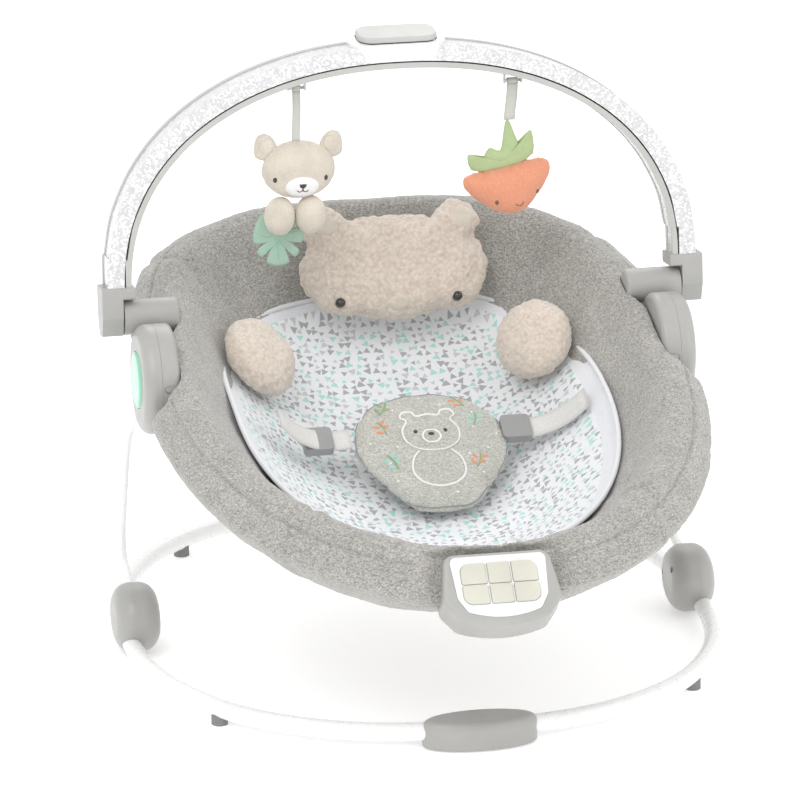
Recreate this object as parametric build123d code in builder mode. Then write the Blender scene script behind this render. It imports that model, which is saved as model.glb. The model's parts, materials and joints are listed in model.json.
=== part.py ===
from build123d import *
import os
from math import atan2, cos, radians, sin

os.makedirs("parts", exist_ok=True)

# Infant bouncer seat. Millimetres, +Z up, front towards -Y, left at -X.
# The origin is on the floor, below the middle of the whole seat.

# Floor ring and its fittings
RING_Y = 36.0
RING_HALF_WIDTH = 290.0
RING_FRONT = 298.0
RING_BACK = 327.0
RING_BACK_SHIFT = 8.0
RING_SQUARENESS = 2.3
RING_RADIUS = 9.0
TUBE_WALL = 1.5
RING_Z = 16.0

BASE_HUB_X = 282.0
BASE_HUB_Y = RING_Y + 13.0
BASE_HUB_Z = 35.0
BASE_HUB_RADIUS = 34.0
BASE_HUB_THICK = 44.0
BASE_HUB_FILLET = 18.0
SHELL_WALL = 3.0
FIT_GAP = 0.1
RUNNING_GAP = 0.05

FOOT_HALF_LENGTH = 56.0
FOOT_HALF_DEPTH = 23.0
FOOT_TOP = 29.0
FOOT_SEAM = 8.0
PAD_THICK = 3.0

SCREW_RADIUS = 1.5
SCREW_HEAD = 3.0

# Spring legs
LEG_RADIUS = 4.75
LEG_BOTTOM_Y = RING_Y + 38.0
LEG_BOTTOM_Z = 50.0
LEG_LEAN = 5.0
LEG_AXIS_Y = RING_Y + 16.0
LEG_AXIS_Z = 44.5
LEG_EYE_RADIUS = 10.5
LEG_EYE_THICK = 14.0
LEG_PIN_RADIUS = 5.0
LEG_SWING = 4.3

# Recline hubs
HUB_X = 259.0
HUB_Y = RING_Y + 16.0
HUB_Z = 281.0
HUB_RADIUS = 54.0
HUB_OUTER_FACE = 276.0
HUB_INNER_FACE = 241.0
HUB_GAP = 0.2
SPIGOT_RADIUS = 34.0
BUTTON_RADIUS = 28.0
GEAR_RADIUS = 20.0
GEAR_TEETH = 16
GEAR_RECESS = 24.0

# Seat: everything soft is laid out on a plane through the recline axis
SEAT_TILT = 13.8
FRAME_RADIUS = 6.0
BOSS_Y = RING_Y + 71.0
BOSS_Z = 328.0
BOSS_RADIUS = 17.5
BOSS_INNER = 226.0
BOSS_OUTER = 281.0
PIN_RADIUS = 5.0
BACK_TUBE_HALF_WIDTH = 236.0
BACK_TUBE_DEPTH = 218.0
BACK_TUBE_TILT = 8.3
BACK_TUBE_DROP = 10.0
FRONT_TUBE_HALF_WIDTH = 249.0
FRONT_TUBE_START = -45.0
FRONT_TUBE_REACH = 348.0
FRONT_TUBE_DROP = -6.0

# Bowl levels: height above the seat plane, front end, back end, half width
COVER_LEVELS = [
    (26, -380, 270, 244),
    (16, -396, 288, 262),
    (0, -415, 303, 274),
    (-35, -380, 286, 252),
    (-72, -322, 256, 216),
    (-108, -250, 206, 168),
    (-134, -170, 146, 115),
]
COVER_THICK = 12.0
CAVITY_LEVELS = [
    (34, -372, 258, 230),
    (14, -354, 240, 213),
    (-20, -325, 216, 190),
    (-60, -285, 190, 160),
    (-95, -225, 150, 125),
    (-118, -145, 95, 80),
]
LINER_THICK = 9.0
LINER_TOP = -20.0
HEADREST_X = 14.0
HEADREST_SLOPE = 52.0
PAD_SLOPE = 14.0

# Control panel
PANEL_Y = RING_Y - 390.0
PANEL_Z = 194.0
PANEL_TILT = 45.0
PANEL_SPLIT = -12.0
PANEL_BACK = -36.0
PANEL_WALL = 2.5
KEY_GAP = 0.35
KEY_COLUMNS = [(-25.0, 24.0), (-0.5, 21.0), (24.0, 24.0)]
KEY_ROWS = [(14.0, 21.0), (-7.5, 19.0)]

# Toy bar
BAR_LEAN = 7.5
BAR_HALF_WIDTH = 298.0
BAR_RISE = 230.0
BAR_BASE = 30.0
BAR_THICK = 25.0
RAIL_RISE = 5.5
DIFFUSER_GAP = 1.5
BAR_SQUARENESS = 2.2
BAR_FOOT = 21.0
BAR_TOP_HALF_DEPTH = 24.0
BAR_FOOT_HALF_DEPTH = 13.0
TOY_DROP = 6.0
BEAR_HANG = 52.0
BERRY_HANG = 88.0
UNIT_LEAN = 4.0
BEAR_X = -101.0
BERRY_X = 116.5


def superellipse(half_width, depth, squareness, start, stop, count):
    points = []
    for step in range(count + 1):
        angle = radians(start + (stop - start) * step / count)
        across = abs(cos(angle)) ** (2 / squareness)
        along = abs(sin(angle)) ** (2 / squareness)
        side = 1 if cos(angle) >= 0 else -1
        points.append((side * half_width * across, depth * along))
    return points


def smooth_path(points, heading, plane):
    with BuildLine() as route:
        for start, end in zip(points, points[1:]):
            arc = TangentArc(start, end, tangent=heading)
            heading = arc % 1
    return plane.location * route.wire()


def tube(path, radius, bore):
    with BuildPart() as pipe:
        with BuildSketch(Plane(origin=path @ 0, z_dir=path % 0)):
            Circle(radius)
            if bore > 0:
                Circle(bore, mode=Mode.SUBTRACT)
        sweep(path=path)
    return pipe.part


def disc(x_low, x_high, y, z, radius):
    with BuildPart() as drum:
        with BuildSketch(Plane(origin=(x_low, y, z), z_dir=(1, 0, 0))):
            Circle(radius)
        extrude(amount=x_high - x_low)
    return drum.part


def other_side(shape):
    return mirror(shape, about=Plane.YZ)


def save(shape, name):
    shape.label = name
    export_step(shape, "parts/" + name + ".step")


def save_pair(shape, name):
    save(Compound(children=[other_side(shape), shape]), name)


def save_sides(shape, name):
    save(other_side(shape), name + "_left")
    save(shape, name + "_right")


def tilted_plane(y, z, tilt):
    up = (0, -sin(radians(tilt)), cos(radians(tilt)))
    return Plane(origin=(0, y, z), x_dir=(1, 0, 0), z_dir=up)


seat_plane = tilted_plane(HUB_Y, HUB_Z, SEAT_TILT)
panel_plane = tilted_plane(PANEL_Y, PANEL_Z, PANEL_TILT)
lean = radians(BAR_LEAN)
bar_plane = Plane(origin=(0, BOSS_Y, BOSS_Z), x_dir=(1, 0, 0), z_dir=(0, -cos(lean), sin(lean)))
bar_side = Plane(origin=(0, BOSS_Y, BOSS_Z), x_dir=(0, cos(lean), -sin(lean)), z_dir=(1, 0, 0))


def facing_front(x, y, z):
    return Plane(origin=(x, y, z), x_dir=(1, 0, 0), z_dir=(0, -1, 0))


def on_seat(x, along, above):
    return seat_plane.from_local_coords((x, along, above))


# ---------------------------------------------------------------- floor ring
ring_plane = Plane.XY.offset(RING_Z)
front_half = superellipse(RING_HALF_WIDTH, RING_FRONT, RING_SQUARENESS, 0, 180, 14)
front_points = [(x, RING_Y - y) for x, y in front_half]
back_half = superellipse(RING_HALF_WIDTH, RING_BACK, RING_SQUARENESS, 0, 180, 14)
back_points = [(x, RING_Y + RING_BACK_SHIFT + y) for x, y in back_half]
front_route = smooth_path(front_points, (0, -1), ring_plane)
back_route = smooth_path(back_points, (0, 1), ring_plane)
base_tube_front = tube(front_route, RING_RADIUS, RING_RADIUS - TUBE_WALL)
base_tube_back = tube(back_route, RING_RADIUS, RING_RADIUS - TUBE_WALL)
save(base_tube_front, "base_tube_front")
save(base_tube_back, "base_tube_back")
front_rod = tube(front_route, RING_RADIUS + FIT_GAP, 0)
back_rod = tube(back_route, RING_RADIUS + FIT_GAP, 0)

# ---------------------------------------------------------------- spring legs
# Each leg is a bent spring wire whose lower end is forged into an eye on the bounce axis
leg_slope = radians(LEG_LEAN)
leg_plane = Plane(
    origin=(BASE_HUB_X, LEG_BOTTOM_Y, LEG_BOTTOM_Z),
    x_dir=(0, 1, 0),
    z_dir=(cos(leg_slope), 0, sin(leg_slope)),
)
with BuildLine() as leg_line:
    FilletPolyline((-14, -3.5), (80, 20), (92, 134), (12, 206), radius=(45, 60))
leg_wire = tube(leg_plane.location * leg_line.wire(), LEG_RADIUS, 0)
eye_low = BASE_HUB_X - LEG_EYE_THICK / 2
eye_high = BASE_HUB_X + LEG_EYE_THICK / 2
with BuildPart() as spring_leg:
    add(leg_wire)
    add(disc(eye_low, eye_high, LEG_AXIS_Y, LEG_AXIS_Z, LEG_EYE_RADIUS))
    eye_bore = LEG_PIN_RADIUS + RUNNING_GAP
    add(disc(eye_low, eye_high, LEG_AXIS_Y, LEG_AXIS_Z, eye_bore), mode=Mode.SUBTRACT)
leg = spring_leg.part
save_sides(leg, "leg")

# ---------------------------------------------------------------- base hubs
hub_low = BASE_HUB_X - BASE_HUB_THICK / 2
hub_high = BASE_HUB_X + BASE_HUB_THICK / 2
screw_places = [(BASE_HUB_Y - 16, BASE_HUB_Z + 15), (BASE_HUB_Y + 21, BASE_HUB_Z)]
leg_rise = atan2(3.5, 14)


def beside_leg(reach, side):
    """A point beside the leg in the YZ plane, far enough out for the leg to swing past."""
    away = side * (LEG_RADIUS + 0.5 + reach * sin(radians(LEG_SWING)))
    along = LEG_AXIS_Y + reach * cos(leg_rise) - away * sin(leg_rise)
    height = LEG_AXIS_Z + reach * sin(leg_rise) + away * cos(leg_rise)
    return along, height


with BuildPart() as leg_slot:
    with BuildSketch(Plane(origin=(BASE_HUB_X - 7, 0, 0), x_dir=(0, 1, 0), z_dir=(1, 0, 0))):
        with BuildLine():
            Polyline(
                beside_leg(12, 1), beside_leg(60, 1), beside_leg(60, -1), beside_leg(12, -1), close=True
            )
        make_face()
    extrude(amount=14)
with BuildPart() as base_hub:
    with BuildSketch(Plane(origin=(hub_low, BASE_HUB_Y, BASE_HUB_Z), x_dir=(0, 1, 0), z_dir=(1, 0, 0))):
        Ellipse(BASE_HUB_RADIUS + 4, BASE_HUB_RADIUS)
    extrude(amount=BASE_HUB_THICK)
    fillet(base_hub.edges(), radius=BASE_HUB_FILLET)
    with BuildSketch(
        Plane(origin=(hub_low + SHELL_WALL, BASE_HUB_Y, BASE_HUB_Z), x_dir=(0, 1, 0), z_dir=(1, 0, 0))
    ):
        Ellipse(BASE_HUB_RADIUS - 5, BASE_HUB_RADIUS - 9)
    extrude(amount=BASE_HUB_THICK - 2 * SHELL_WALL, mode=Mode.SUBTRACT)
    for screw_y, screw_z in screw_places:
        add(disc(hub_low + SHELL_WALL, hub_high - SHELL_WALL, screw_y, screw_z, 4.5))
        add(disc(hub_low, hub_high - 8, screw_y, screw_z, SCREW_RADIUS + 0.1), mode=Mode.SUBTRACT)
        add(disc(hub_low, hub_low + 4, screw_y, screw_z, SCREW_HEAD + 0.2), mode=Mode.SUBTRACT)
    add(disc(hub_low + SHELL_WALL, hub_high - SHELL_WALL, LEG_AXIS_Y, LEG_AXIS_Z, LEG_PIN_RADIUS))
    add(front_rod, mode=Mode.SUBTRACT)
    add(back_rod, mode=Mode.SUBTRACT)
    add(leg_slot.part, mode=Mode.SUBTRACT)
with BuildPart() as base_hub_outer:
    add(base_hub.part)
    split(bisect_by=Plane.YZ.offset(BASE_HUB_X - 1), keep=Keep.TOP)
with BuildPart() as base_hub_inner:
    add(base_hub.part)
    split(bisect_by=Plane.YZ.offset(BASE_HUB_X - 1), keep=Keep.BOTTOM)
save_pair(base_hub_outer.part.solids().sort_by(SortBy.VOLUME)[-1], "base_hub_outer_shells")
save_pair(base_hub_inner.part.solids().sort_by(SortBy.VOLUME)[-1], "base_hub_inner_shells")

# ---------------------------------------------------------------- front foot
foot_y = RING_Y - RING_FRONT
foot_screws = [(x, foot_y + y) for x in (-26, 26) for y in (-13.5, 13.5)]
with BuildPart() as front_foot:
    with BuildSketch(Plane(origin=(0, foot_y, 1.0))):
        Ellipse(FOOT_HALF_LENGTH, FOOT_HALF_DEPTH)
    extrude(amount=FOOT_TOP - 1)
    fillet(front_foot.edges().sort_by(Axis.Z)[-1], radius=9)
    fillet(front_foot.edges().sort_by(Axis.Z)[0], radius=3)
    with BuildSketch(Plane(origin=(0, foot_y, 1.0 + SHELL_WALL))):
        Ellipse(FOOT_HALF_LENGTH - 14, FOOT_HALF_DEPTH - 6)
    extrude(amount=FOOT_TOP - 1 - 2 * SHELL_WALL, mode=Mode.SUBTRACT)
    with Locations(*[(x, y, 1.0 + SHELL_WALL) for x, y in foot_screws]):
        Cylinder(3.8, FOOT_TOP - 1 - 2 * SHELL_WALL, align=(Align.CENTER, Align.CENTER, Align.MIN))
    with Locations(*[(x, y, 1.0) for x, y in foot_screws]):
        Cylinder(SCREW_RADIUS + 0.1, 11, align=(Align.CENTER, Align.CENTER, Align.MIN), mode=Mode.SUBTRACT)
        Cylinder(SCREW_HEAD + 0.2, 3, align=(Align.CENTER, Align.CENTER, Align.MIN), mode=Mode.SUBTRACT)
    add(front_rod, mode=Mode.SUBTRACT)
with BuildPart() as front_foot_upper:
    add(front_foot.part)
    split(bisect_by=Plane.XY.offset(FOOT_SEAM), keep=Keep.TOP)
with BuildPart() as front_foot_lower:
    add(front_foot.part)
    split(bisect_by=Plane.XY.offset(FOOT_SEAM), keep=Keep.BOTTOM)
save(front_foot_upper.part.solids().sort_by(SortBy.VOLUME)[-1], "front_foot_upper")

# Rubber feet: two pads under the front foot and four half-round blocks under the ring
with BuildPart() as rubber_feet:
    with Locations((-10, foot_y, 0), (10, foot_y, 0)):
        Box(14, 12, PAD_THICK, align=(Align.CENTER, Align.CENTER, Align.MIN))
    for place in (front_points[3], front_points[-4], back_points[4], back_points[-5]):
        with Locations((place[0], place[1], 0)):
            Cylinder(8, RING_Z, align=(Align.CENTER, Align.CENTER, Align.MIN))
    add(front_rod, mode=Mode.SUBTRACT)
    add(back_rod, mode=Mode.SUBTRACT)
with BuildPart() as front_foot_floor:
    add(front_foot_lower.part)
    add(rubber_feet.part, mode=Mode.SUBTRACT)
save(front_foot_floor.part, "front_foot_lower")
feet_solids = [piece for piece in rubber_feet.part.solids() if piece.volume > 50]
save(Compound(children=feet_solids), "rubber_feet")


def screw(plane, length):
    with BuildPart() as fastener:
        with BuildSketch(plane):
            Circle(SCREW_HEAD)
        extrude(amount=2.2)
        with BuildSketch(plane):
            Circle(SCREW_RADIUS)
        extrude(amount=length)
        with BuildSketch(plane):
            Rectangle(4, 0.9)
            Rectangle(0.9, 4)
        extrude(amount=1.2, mode=Mode.SUBTRACT)
    return fastener.part


screws = []
for screw_y, screw_z in screw_places:
    hub_screw = screw(Plane(origin=(hub_low + 1.7, screw_y, screw_z), z_dir=(1, 0, 0)), 30)
    screws.append(hub_screw)
    screws.append(other_side(hub_screw))
for screw_x, screw_y in foot_screws:
    screws.append(screw(Plane(origin=(screw_x, screw_y, 1.7), z_dir=(0, 0, 1)), 9.5))
save(Compound(children=screws), "base_screws")

# ---------------------------------------------------------------- recline hubs
seam = HUB_X
button_floor = HUB_OUTER_FACE - 15
gear_floor = HUB_INNER_FACE + 3
with BuildPart() as seat_hub_outer:
    add(disc(seam + HUB_GAP, HUB_OUTER_FACE, HUB_Y, HUB_Z, HUB_RADIUS))
    fillet(seat_hub_outer.edges().sort_by(Axis.X)[-1], radius=11)
    add(disc(seam - 7, seam + HUB_GAP, HUB_Y, HUB_Z, SPIGOT_RADIUS))
    add(disc(seam - 8, button_floor, HUB_Y, HUB_Z, SPIGOT_RADIUS - 5), mode=Mode.SUBTRACT)
    add(disc(button_floor, HUB_OUTER_FACE, HUB_Y, HUB_Z, BUTTON_RADIUS + KEY_GAP), mode=Mode.SUBTRACT)
    add(leg_wire, mode=Mode.SUBTRACT)
save_sides(seat_hub_outer.part.solids().sort_by(SortBy.VOLUME)[-1], "seat_hub_outer")

with BuildPart() as release_button:
    add(disc(button_floor + 5, HUB_OUTER_FACE + 2.5, HUB_Y, HUB_Z, BUTTON_RADIUS))
    fillet(release_button.edges().sort_by(Axis.X)[-1], radius=4)
    add(disc(button_floor + 1, button_floor + 5, HUB_Y, HUB_Z, 9))
save_sides(release_button.part, "release_button")

with BuildPart() as lock_gear:
    add(disc(button_floor - 9, button_floor + 1, HUB_Y, HUB_Z, GEAR_RADIUS - 3))
    with BuildSketch(Plane(origin=(button_floor - 9, HUB_Y, HUB_Z), z_dir=(1, 0, 0))):
        with PolarLocations(GEAR_RADIUS - 2, GEAR_TEETH):
            Rectangle(5, 3)
    extrude(amount=8)
    add(disc(button_floor - 9, button_floor - 5, HUB_Y, HUB_Z, 9), mode=Mode.SUBTRACT)
save_sides(lock_gear.part, "lock_gear")

# Coil spring that pushes the gear and its button outwards
spring_rise = button_floor - 5 - gear_floor - 1.6
spring_foot = Plane(origin=(gear_floor + 0.8, HUB_Y, HUB_Z), z_dir=(1, 0, 0))
coil = spring_foot.location * Helix(pitch=spring_rise / 4, height=spring_rise, radius=7)
with BuildPart() as release_spring:
    with BuildSketch(Plane(origin=coil @ 0, z_dir=coil % 0)):
        Circle(0.6)
    sweep(path=coil)
save_pair(release_spring.part, "release_springs")

# ---------------------------------------------------------------- seat frame
boss_reach = ((BOSS_Y - HUB_Y) ** 2 + (BOSS_Z - HUB_Z) ** 2) ** 0.5
link_dir = (0, (BOSS_Y - HUB_Y) / boss_reach, (BOSS_Z - HUB_Z) / boss_reach)
link_start = (250, HUB_Y + 40 * link_dir[1], HUB_Z + 40 * link_dir[2])
with BuildPart() as frame_link:
    with BuildSketch(Plane(origin=link_start, z_dir=link_dir)):
        Circle(FRAME_RADIUS)
        Circle(FRAME_RADIUS - TUBE_WALL, mode=Mode.SUBTRACT)
    extrude(amount=boss_reach - 40 - 8)
with BuildPart() as link_rod:
    with BuildSketch(Plane(origin=link_start, z_dir=link_dir)):
        Circle(FRAME_RADIUS)
    extrude(amount=boss_reach - 40 - 8)
save_pair(frame_link.part, "frame_links")

back_arc = superellipse(BACK_TUBE_HALF_WIDTH, BACK_TUBE_DEPTH, 3.0, 0, 180, 12)
back_plane = tilted_plane(BOSS_Y, BOSS_Z - BACK_TUBE_DROP, BACK_TUBE_TILT)
back_path = smooth_path(back_arc, (0, 1), back_plane)
save(tube(back_path, FRAME_RADIUS, FRAME_RADIUS - TUBE_WALL), "back_frame_tube")
back_bar = tube(back_path, FRAME_RADIUS + FIT_GAP, 0)

front_arc = superellipse(FRONT_TUBE_HALF_WIDTH, FRONT_TUBE_REACH, 2.1, 0, 80, 8)
front_line = [(x, FRONT_TUBE_START - y) for x, y in front_arc]
front_path = smooth_path(front_line, (0, -1), seat_plane.offset(FRONT_TUBE_DROP))
save_pair(tube(front_path, FRAME_RADIUS, FRAME_RADIUS - TUBE_WALL), "front_frame_tubes")
front_bar = tube(front_path, FRAME_RADIUS, 0)

with BuildPart() as seat_hub_inner:
    add(disc(HUB_INNER_FACE, seam, HUB_Y, HUB_Z, HUB_RADIUS))
    fillet(seat_hub_inner.edges().sort_by(Axis.X)[0], radius=6)
    add(disc(seam - 7 - HUB_GAP, seam, HUB_Y, HUB_Z, SPIGOT_RADIUS + RUNNING_GAP), mode=Mode.SUBTRACT)
    add(disc(gear_floor, seam, HUB_Y, HUB_Z, GEAR_RECESS), mode=Mode.SUBTRACT)
    add(link_rod.part, mode=Mode.SUBTRACT)
    add(front_bar, mode=Mode.SUBTRACT)
    # oval groove of the moulding clip on the front of the rim
    with BuildSketch(Plane(origin=(250, HUB_Y - HUB_RADIUS + 1.2, HUB_Z + 6), z_dir=(0, -1, 0))):
        SlotOverall(15, 8, rotation=90)
        SlotOverall(12.5, 5.5, rotation=90, mode=Mode.SUBTRACT)
    extrude(amount=4, mode=Mode.SUBTRACT)
save_sides(seat_hub_inner.part.solids().sort_by(SortBy.VOLUME)[-1], "seat_hub_inner")

with BuildPart() as pivot_boss:
    add(disc(BOSS_INNER, BOSS_OUTER, BOSS_Y, BOSS_Z, BOSS_RADIUS))
    fillet(pivot_boss.edges().sort_by(Axis.X)[0], radius=4)
    add(disc(BOSS_OUTER - 22, BOSS_OUTER, BOSS_Y, BOSS_Z, PIN_RADIUS), mode=Mode.SUBTRACT)
    add(link_rod.part, mode=Mode.SUBTRACT)
with BuildPart() as boss_pair:
    add(pivot_boss.part)
    add(other_side(pivot_boss.part))
    add(back_bar, mode=Mode.SUBTRACT)
boss_solids = boss_pair.part.solids().sort_by(SortBy.VOLUME)[-2:]
save(Compound(children=list(boss_solids)), "pivot_bosses")
save_pair(disc(BOSS_OUTER - 22, BOSS_OUTER + 18, BOSS_Y, BOSS_Z, PIN_RADIUS), "pivot_pins")


# ---------------------------------------------------------------- control panel
def panel_outline(margin):
    with BuildSketch() as outline:
        with BuildLine():
            Polyline((-43, -30), (-57, -12), (-50, 36), (50, 36), (57, -12), (43, -30))
            ThreePointArc((-43, -30), (0, -38), (43, -30))
        make_face()
        fillet(outline.vertices(), radius=11)
        offset(amount=margin)
    return outline.sketch


def panel_slab(outline, low, high):
    with BuildPart() as slab:
        add(panel_plane.offset(low).location * outline)
        extrude(amount=high - low, dir=panel_plane.z_dir)
    return slab.part


def face_outline(margin):
    with BuildSketch() as outline:
        with BuildLine():
            Polyline((-35, -24), (-43, -10), (-46, 32), (46, 32), (43, -10), (35, -24))
            ThreePointArc((-35, -24), (0, -31), (35, -24))
        make_face()
        fillet(outline.vertices(), radius=6)
        offset(amount=margin)
    return outline.sketch


def key_shape(column, row, margin):
    key_x, key_width = KEY_COLUMNS[column]
    key_y, key_height = KEY_ROWS[row]
    with BuildSketch() as outline:
        with Locations((key_x, key_y)):
            Rectangle(key_width, key_height)
        corners = outline.vertices()
        side = (-1, 0, 1)[column]
        level = (1, -1)[row]
        rounded = corners.sort_by(lambda v: side * v.X + level * v.Y)[-1]
        small = [corner for corner in corners if column == 1 or corner != rounded]
        fillet(small, radius=1.5)
        if column != 1:
            fillet(outline.vertices().sort_by(lambda v: side * v.X + level * v.Y)[-1], radius=9)
        offset(amount=margin)
    return outline.sketch


keys = [(column, row) for row in range(2) for column in range(3)]
shell_front = panel_slab(panel_outline(0), PANEL_SPLIT, 0)
with BuildPart() as panel_housing_front:
    add(shell_front)
    top_edges = panel_housing_front.faces().sort_by(Axis((0, 0, 0), panel_plane.z_dir))[-1].edges()
    fillet(top_edges, radius=4)
    add(panel_slab(panel_outline(-6), PANEL_SPLIT, -4), mode=Mode.SUBTRACT)
    add(panel_slab(face_outline(0.2), -5, 1), mode=Mode.SUBTRACT)
save(panel_housing_front.part, "panel_housing_front")

with BuildPart() as panel_housing_back:
    add(panel_slab(panel_outline(0), PANEL_BACK, PANEL_SPLIT))
    bottom_edges = panel_housing_back.faces().sort_by(Axis((0, 0, 0), panel_plane.z_dir))[0].edges()
    fillet(bottom_edges, radius=4)
    add(panel_slab(panel_outline(-6), PANEL_BACK + PANEL_WALL, PANEL_SPLIT), mode=Mode.SUBTRACT)
    add(front_bar, mode=Mode.SUBTRACT)
    add(other_side(front_bar), mode=Mode.SUBTRACT)
    with BuildSketch(panel_plane.offset(PANEL_BACK)):
        with Locations((0, -3)):
            RectangleRounded(62.6, 44.6, 4.3)
    extrude(amount=PANEL_WALL, mode=Mode.SUBTRACT)
save(panel_housing_back.part.solids().sort_by(SortBy.VOLUME)[-1], "panel_housing_back")

with BuildPart() as battery_door:
    with BuildSketch(panel_plane.offset(PANEL_BACK)):
        with Locations((0, -3)):
            RectangleRounded(62, 44, 4)
    extrude(amount=PANEL_WALL - 0.2)
save(battery_door.part, "battery_door")

with BuildPart() as panel_face:
    add(panel_slab(face_outline(0), -2.5, 0.5))
    for column, row in keys:
        add(panel_slab(key_shape(column, row, KEY_GAP), -3, 1), mode=Mode.SUBTRACT)
save(panel_face.part, "panel_face")

key_names = ["key_top_left", "key_top_middle", "key_top_right"]
key_names += ["key_lower_left", "key_lower_middle", "key_lower_right"]
for (column, row), key_name in zip(keys, key_names):
    with BuildPart() as key:
        add(panel_slab(key_shape(column, row, 0), -3.8, 2.0))
        crown = key.faces().sort_by(Axis((0, 0, 0), panel_plane.z_dir))[-1].edges()
        fillet(crown, radius=0.8)
    save(key.part, key_name)

with BuildPart() as keypad:
    with BuildSketch(panel_plane.offset(-7.4)):
        with Locations((0, 4)):
            RectangleRounded(78, 48, 5)
    extrude(amount=1.6)
save(keypad.part, "keypad")

with BuildPart() as circuit_board:
    with BuildSketch(panel_plane.offset(-9.4)):
        with Locations((0, 3)):
            RectangleRounded(84, 54, 3)
    extrude(amount=1.6)
    with BuildSketch(panel_plane.offset(-12)):
        with Locations((-25, 10), (6, -8), (28, 12)):
            Rectangle(10, 8)
    extrude(amount=2.6)
save(circuit_board.part, "circuit_board")

with BuildPart() as speaker:
    with BuildSketch(panel_plane.offset(-30)):
        with Locations((-37, -11)):
            Circle(10)
    extrude(amount=5)
    with BuildSketch(panel_plane.offset(-33)):
        with Locations((-37, -11)):
            Circle(6)
    extrude(amount=3)
save(speaker.part, "speaker")

# Cells lie along X, side by side, behind the circuit board
cells = []
for cell_row in (-18.5, -3, 12.5):
    start = panel_plane.from_local_coords((-24.5, cell_row, -22.5))
    cells.append(disc(start.X, start.X + 49, start.Y, start.Z, 7.1))
save(Compound(children=cells), "batteries")

motor_start = panel_plane.from_local_coords((0, 20, -22.5))
with BuildPart() as vibration_motor:
    add(disc(26, 37, motor_start.Y, motor_start.Z, 6))
    add(disc(37, 39, motor_start.Y, motor_start.Z, 2))
    add(disc(25, 40, motor_start.Y, motor_start.Z, 1.0), mode=Mode.SUBTRACT)
save(vibration_motor.part, "vibration_motor")
with BuildPart() as motor_weight:
    add(disc(28, 40.2, motor_start.Y, motor_start.Z, 0.95))
    with BuildSketch(Plane(origin=(40, motor_start.Y, motor_start.Z), z_dir=(1, 0, 0))) as lobe:
        Circle(4.5)
        with Locations((0, 4)):
            Rectangle(12, 8, mode=Mode.SUBTRACT)
        Circle(1.8)
    extrude(amount=3.5)
save(motor_weight.part, "motor_weight")


# ---------------------------------------------------------------- fabric seat
def egg_sections(levels, shrink=0.0, lift=0.0):
    sections = []
    for above, front, back, half_width in levels:
        front_end = front + shrink
        back_end = back - shrink
        widest = front_end + 0.515 * (back_end - front_end)
        wide = half_width - shrink
        outline = []
        for step in range(20):
            angle = radians(18 * step)
            squareness = 3.0 if sin(angle) > 0 else 2.1
            across = abs(cos(angle)) ** (2 / squareness)
            along = abs(sin(angle)) ** (2 / squareness)
            side = 1 if cos(angle) >= 0 else -1
            reach = back_end - widest if sin(angle) > 0 else front_end - widest
            outline.append((side * wide * across, widest + reach * along))
        with BuildSketch(seat_plane.offset(above + lift)) as section:
            with BuildLine():
                Spline(*outline, periodic=True)
            make_face()
        sections.append(section.sketch)
    return sections


hub_room = disc(HUB_INNER_FACE - 0.6, 320, HUB_Y, HUB_Z, HUB_RADIUS + 1.0)
boss_room = disc(BOSS_INNER - 0.3, 320, BOSS_Y, BOSS_Z, BOSS_RADIUS + 0.5)
with BuildPart() as padding_space:
    loft(egg_sections(COVER_LEVELS[2:-1], shrink=COVER_THICK))
    loft(egg_sections(CAVITY_LEVELS, shrink=-COVER_THICK), mode=Mode.SUBTRACT)
with BuildPart() as seat_cover:
    loft(egg_sections(COVER_LEVELS))
    loft(egg_sections(CAVITY_LEVELS), mode=Mode.SUBTRACT)
    add(padding_space.part, mode=Mode.SUBTRACT)
    for room in (hub_room, boss_room, front_bar):
        add(room, mode=Mode.SUBTRACT)
        add(other_side(room), mode=Mode.SUBTRACT)
    add(back_bar, mode=Mode.SUBTRACT)
    add(link_rod.part, mode=Mode.SUBTRACT)
    add(other_side(link_rod.part), mode=Mode.SUBTRACT)
    add(panel_slab(panel_outline(0.4), PANEL_BACK - 0.4, 40), mode=Mode.SUBTRACT)
save(seat_cover.part.solids().sort_by(SortBy.VOLUME)[-1], "seat_cover")

with BuildPart() as liner_room:
    loft(egg_sections(CAVITY_LEVELS, shrink=0.3, lift=0.3))
with BuildPart() as seat_liner:
    add(liner_room.part)
    loft(egg_sections(CAVITY_LEVELS, shrink=LINER_THICK, lift=LINER_THICK), mode=Mode.SUBTRACT)
    split(bisect_by=seat_plane.offset(LINER_TOP), keep=Keep.BOTTOM)
save(seat_liner.part, "seat_liner")

with BuildPart() as seat_space:
    loft(egg_sections(CAVITY_LEVELS, shrink=LINER_THICK + 0.6, lift=LINER_THICK + 0.6))

# Headrest: a rounded slab with two ears that leans on the back of the bowl
headrest_at = on_seat(HEADREST_X, 182, 0)
headrest_plane = tilted_plane(headrest_at.Y, headrest_at.Z, SEAT_TILT + HEADREST_SLOPE)
headrest_plane.origin = headrest_at
with BuildPart() as headrest:
    with BuildSketch(headrest_plane):
        RectangleRounded(196, 104, 46)
        with Locations((-70, 46), (70, 46)):
            Circle(26)
    extrude(amount=22)
    add(seat_cover.part, mode=Mode.SUBTRACT)
    add(seat_liner.part, mode=Mode.SUBTRACT)
save(headrest.part.solids().sort_by(SortBy.VOLUME)[-1], "headrest")

lobe_at = on_seat(134, 72, -32)
with BuildPart() as side_lobe:
    with Locations(lobe_at):
        Sphere(38)
    add(seat_space.part, mode=Mode.INTERSECT)
    add(headrest.part, mode=Mode.SUBTRACT)
save_pair(side_lobe.part.solids().sort_by(SortBy.VOLUME)[-1], "side_lobes")

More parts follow.
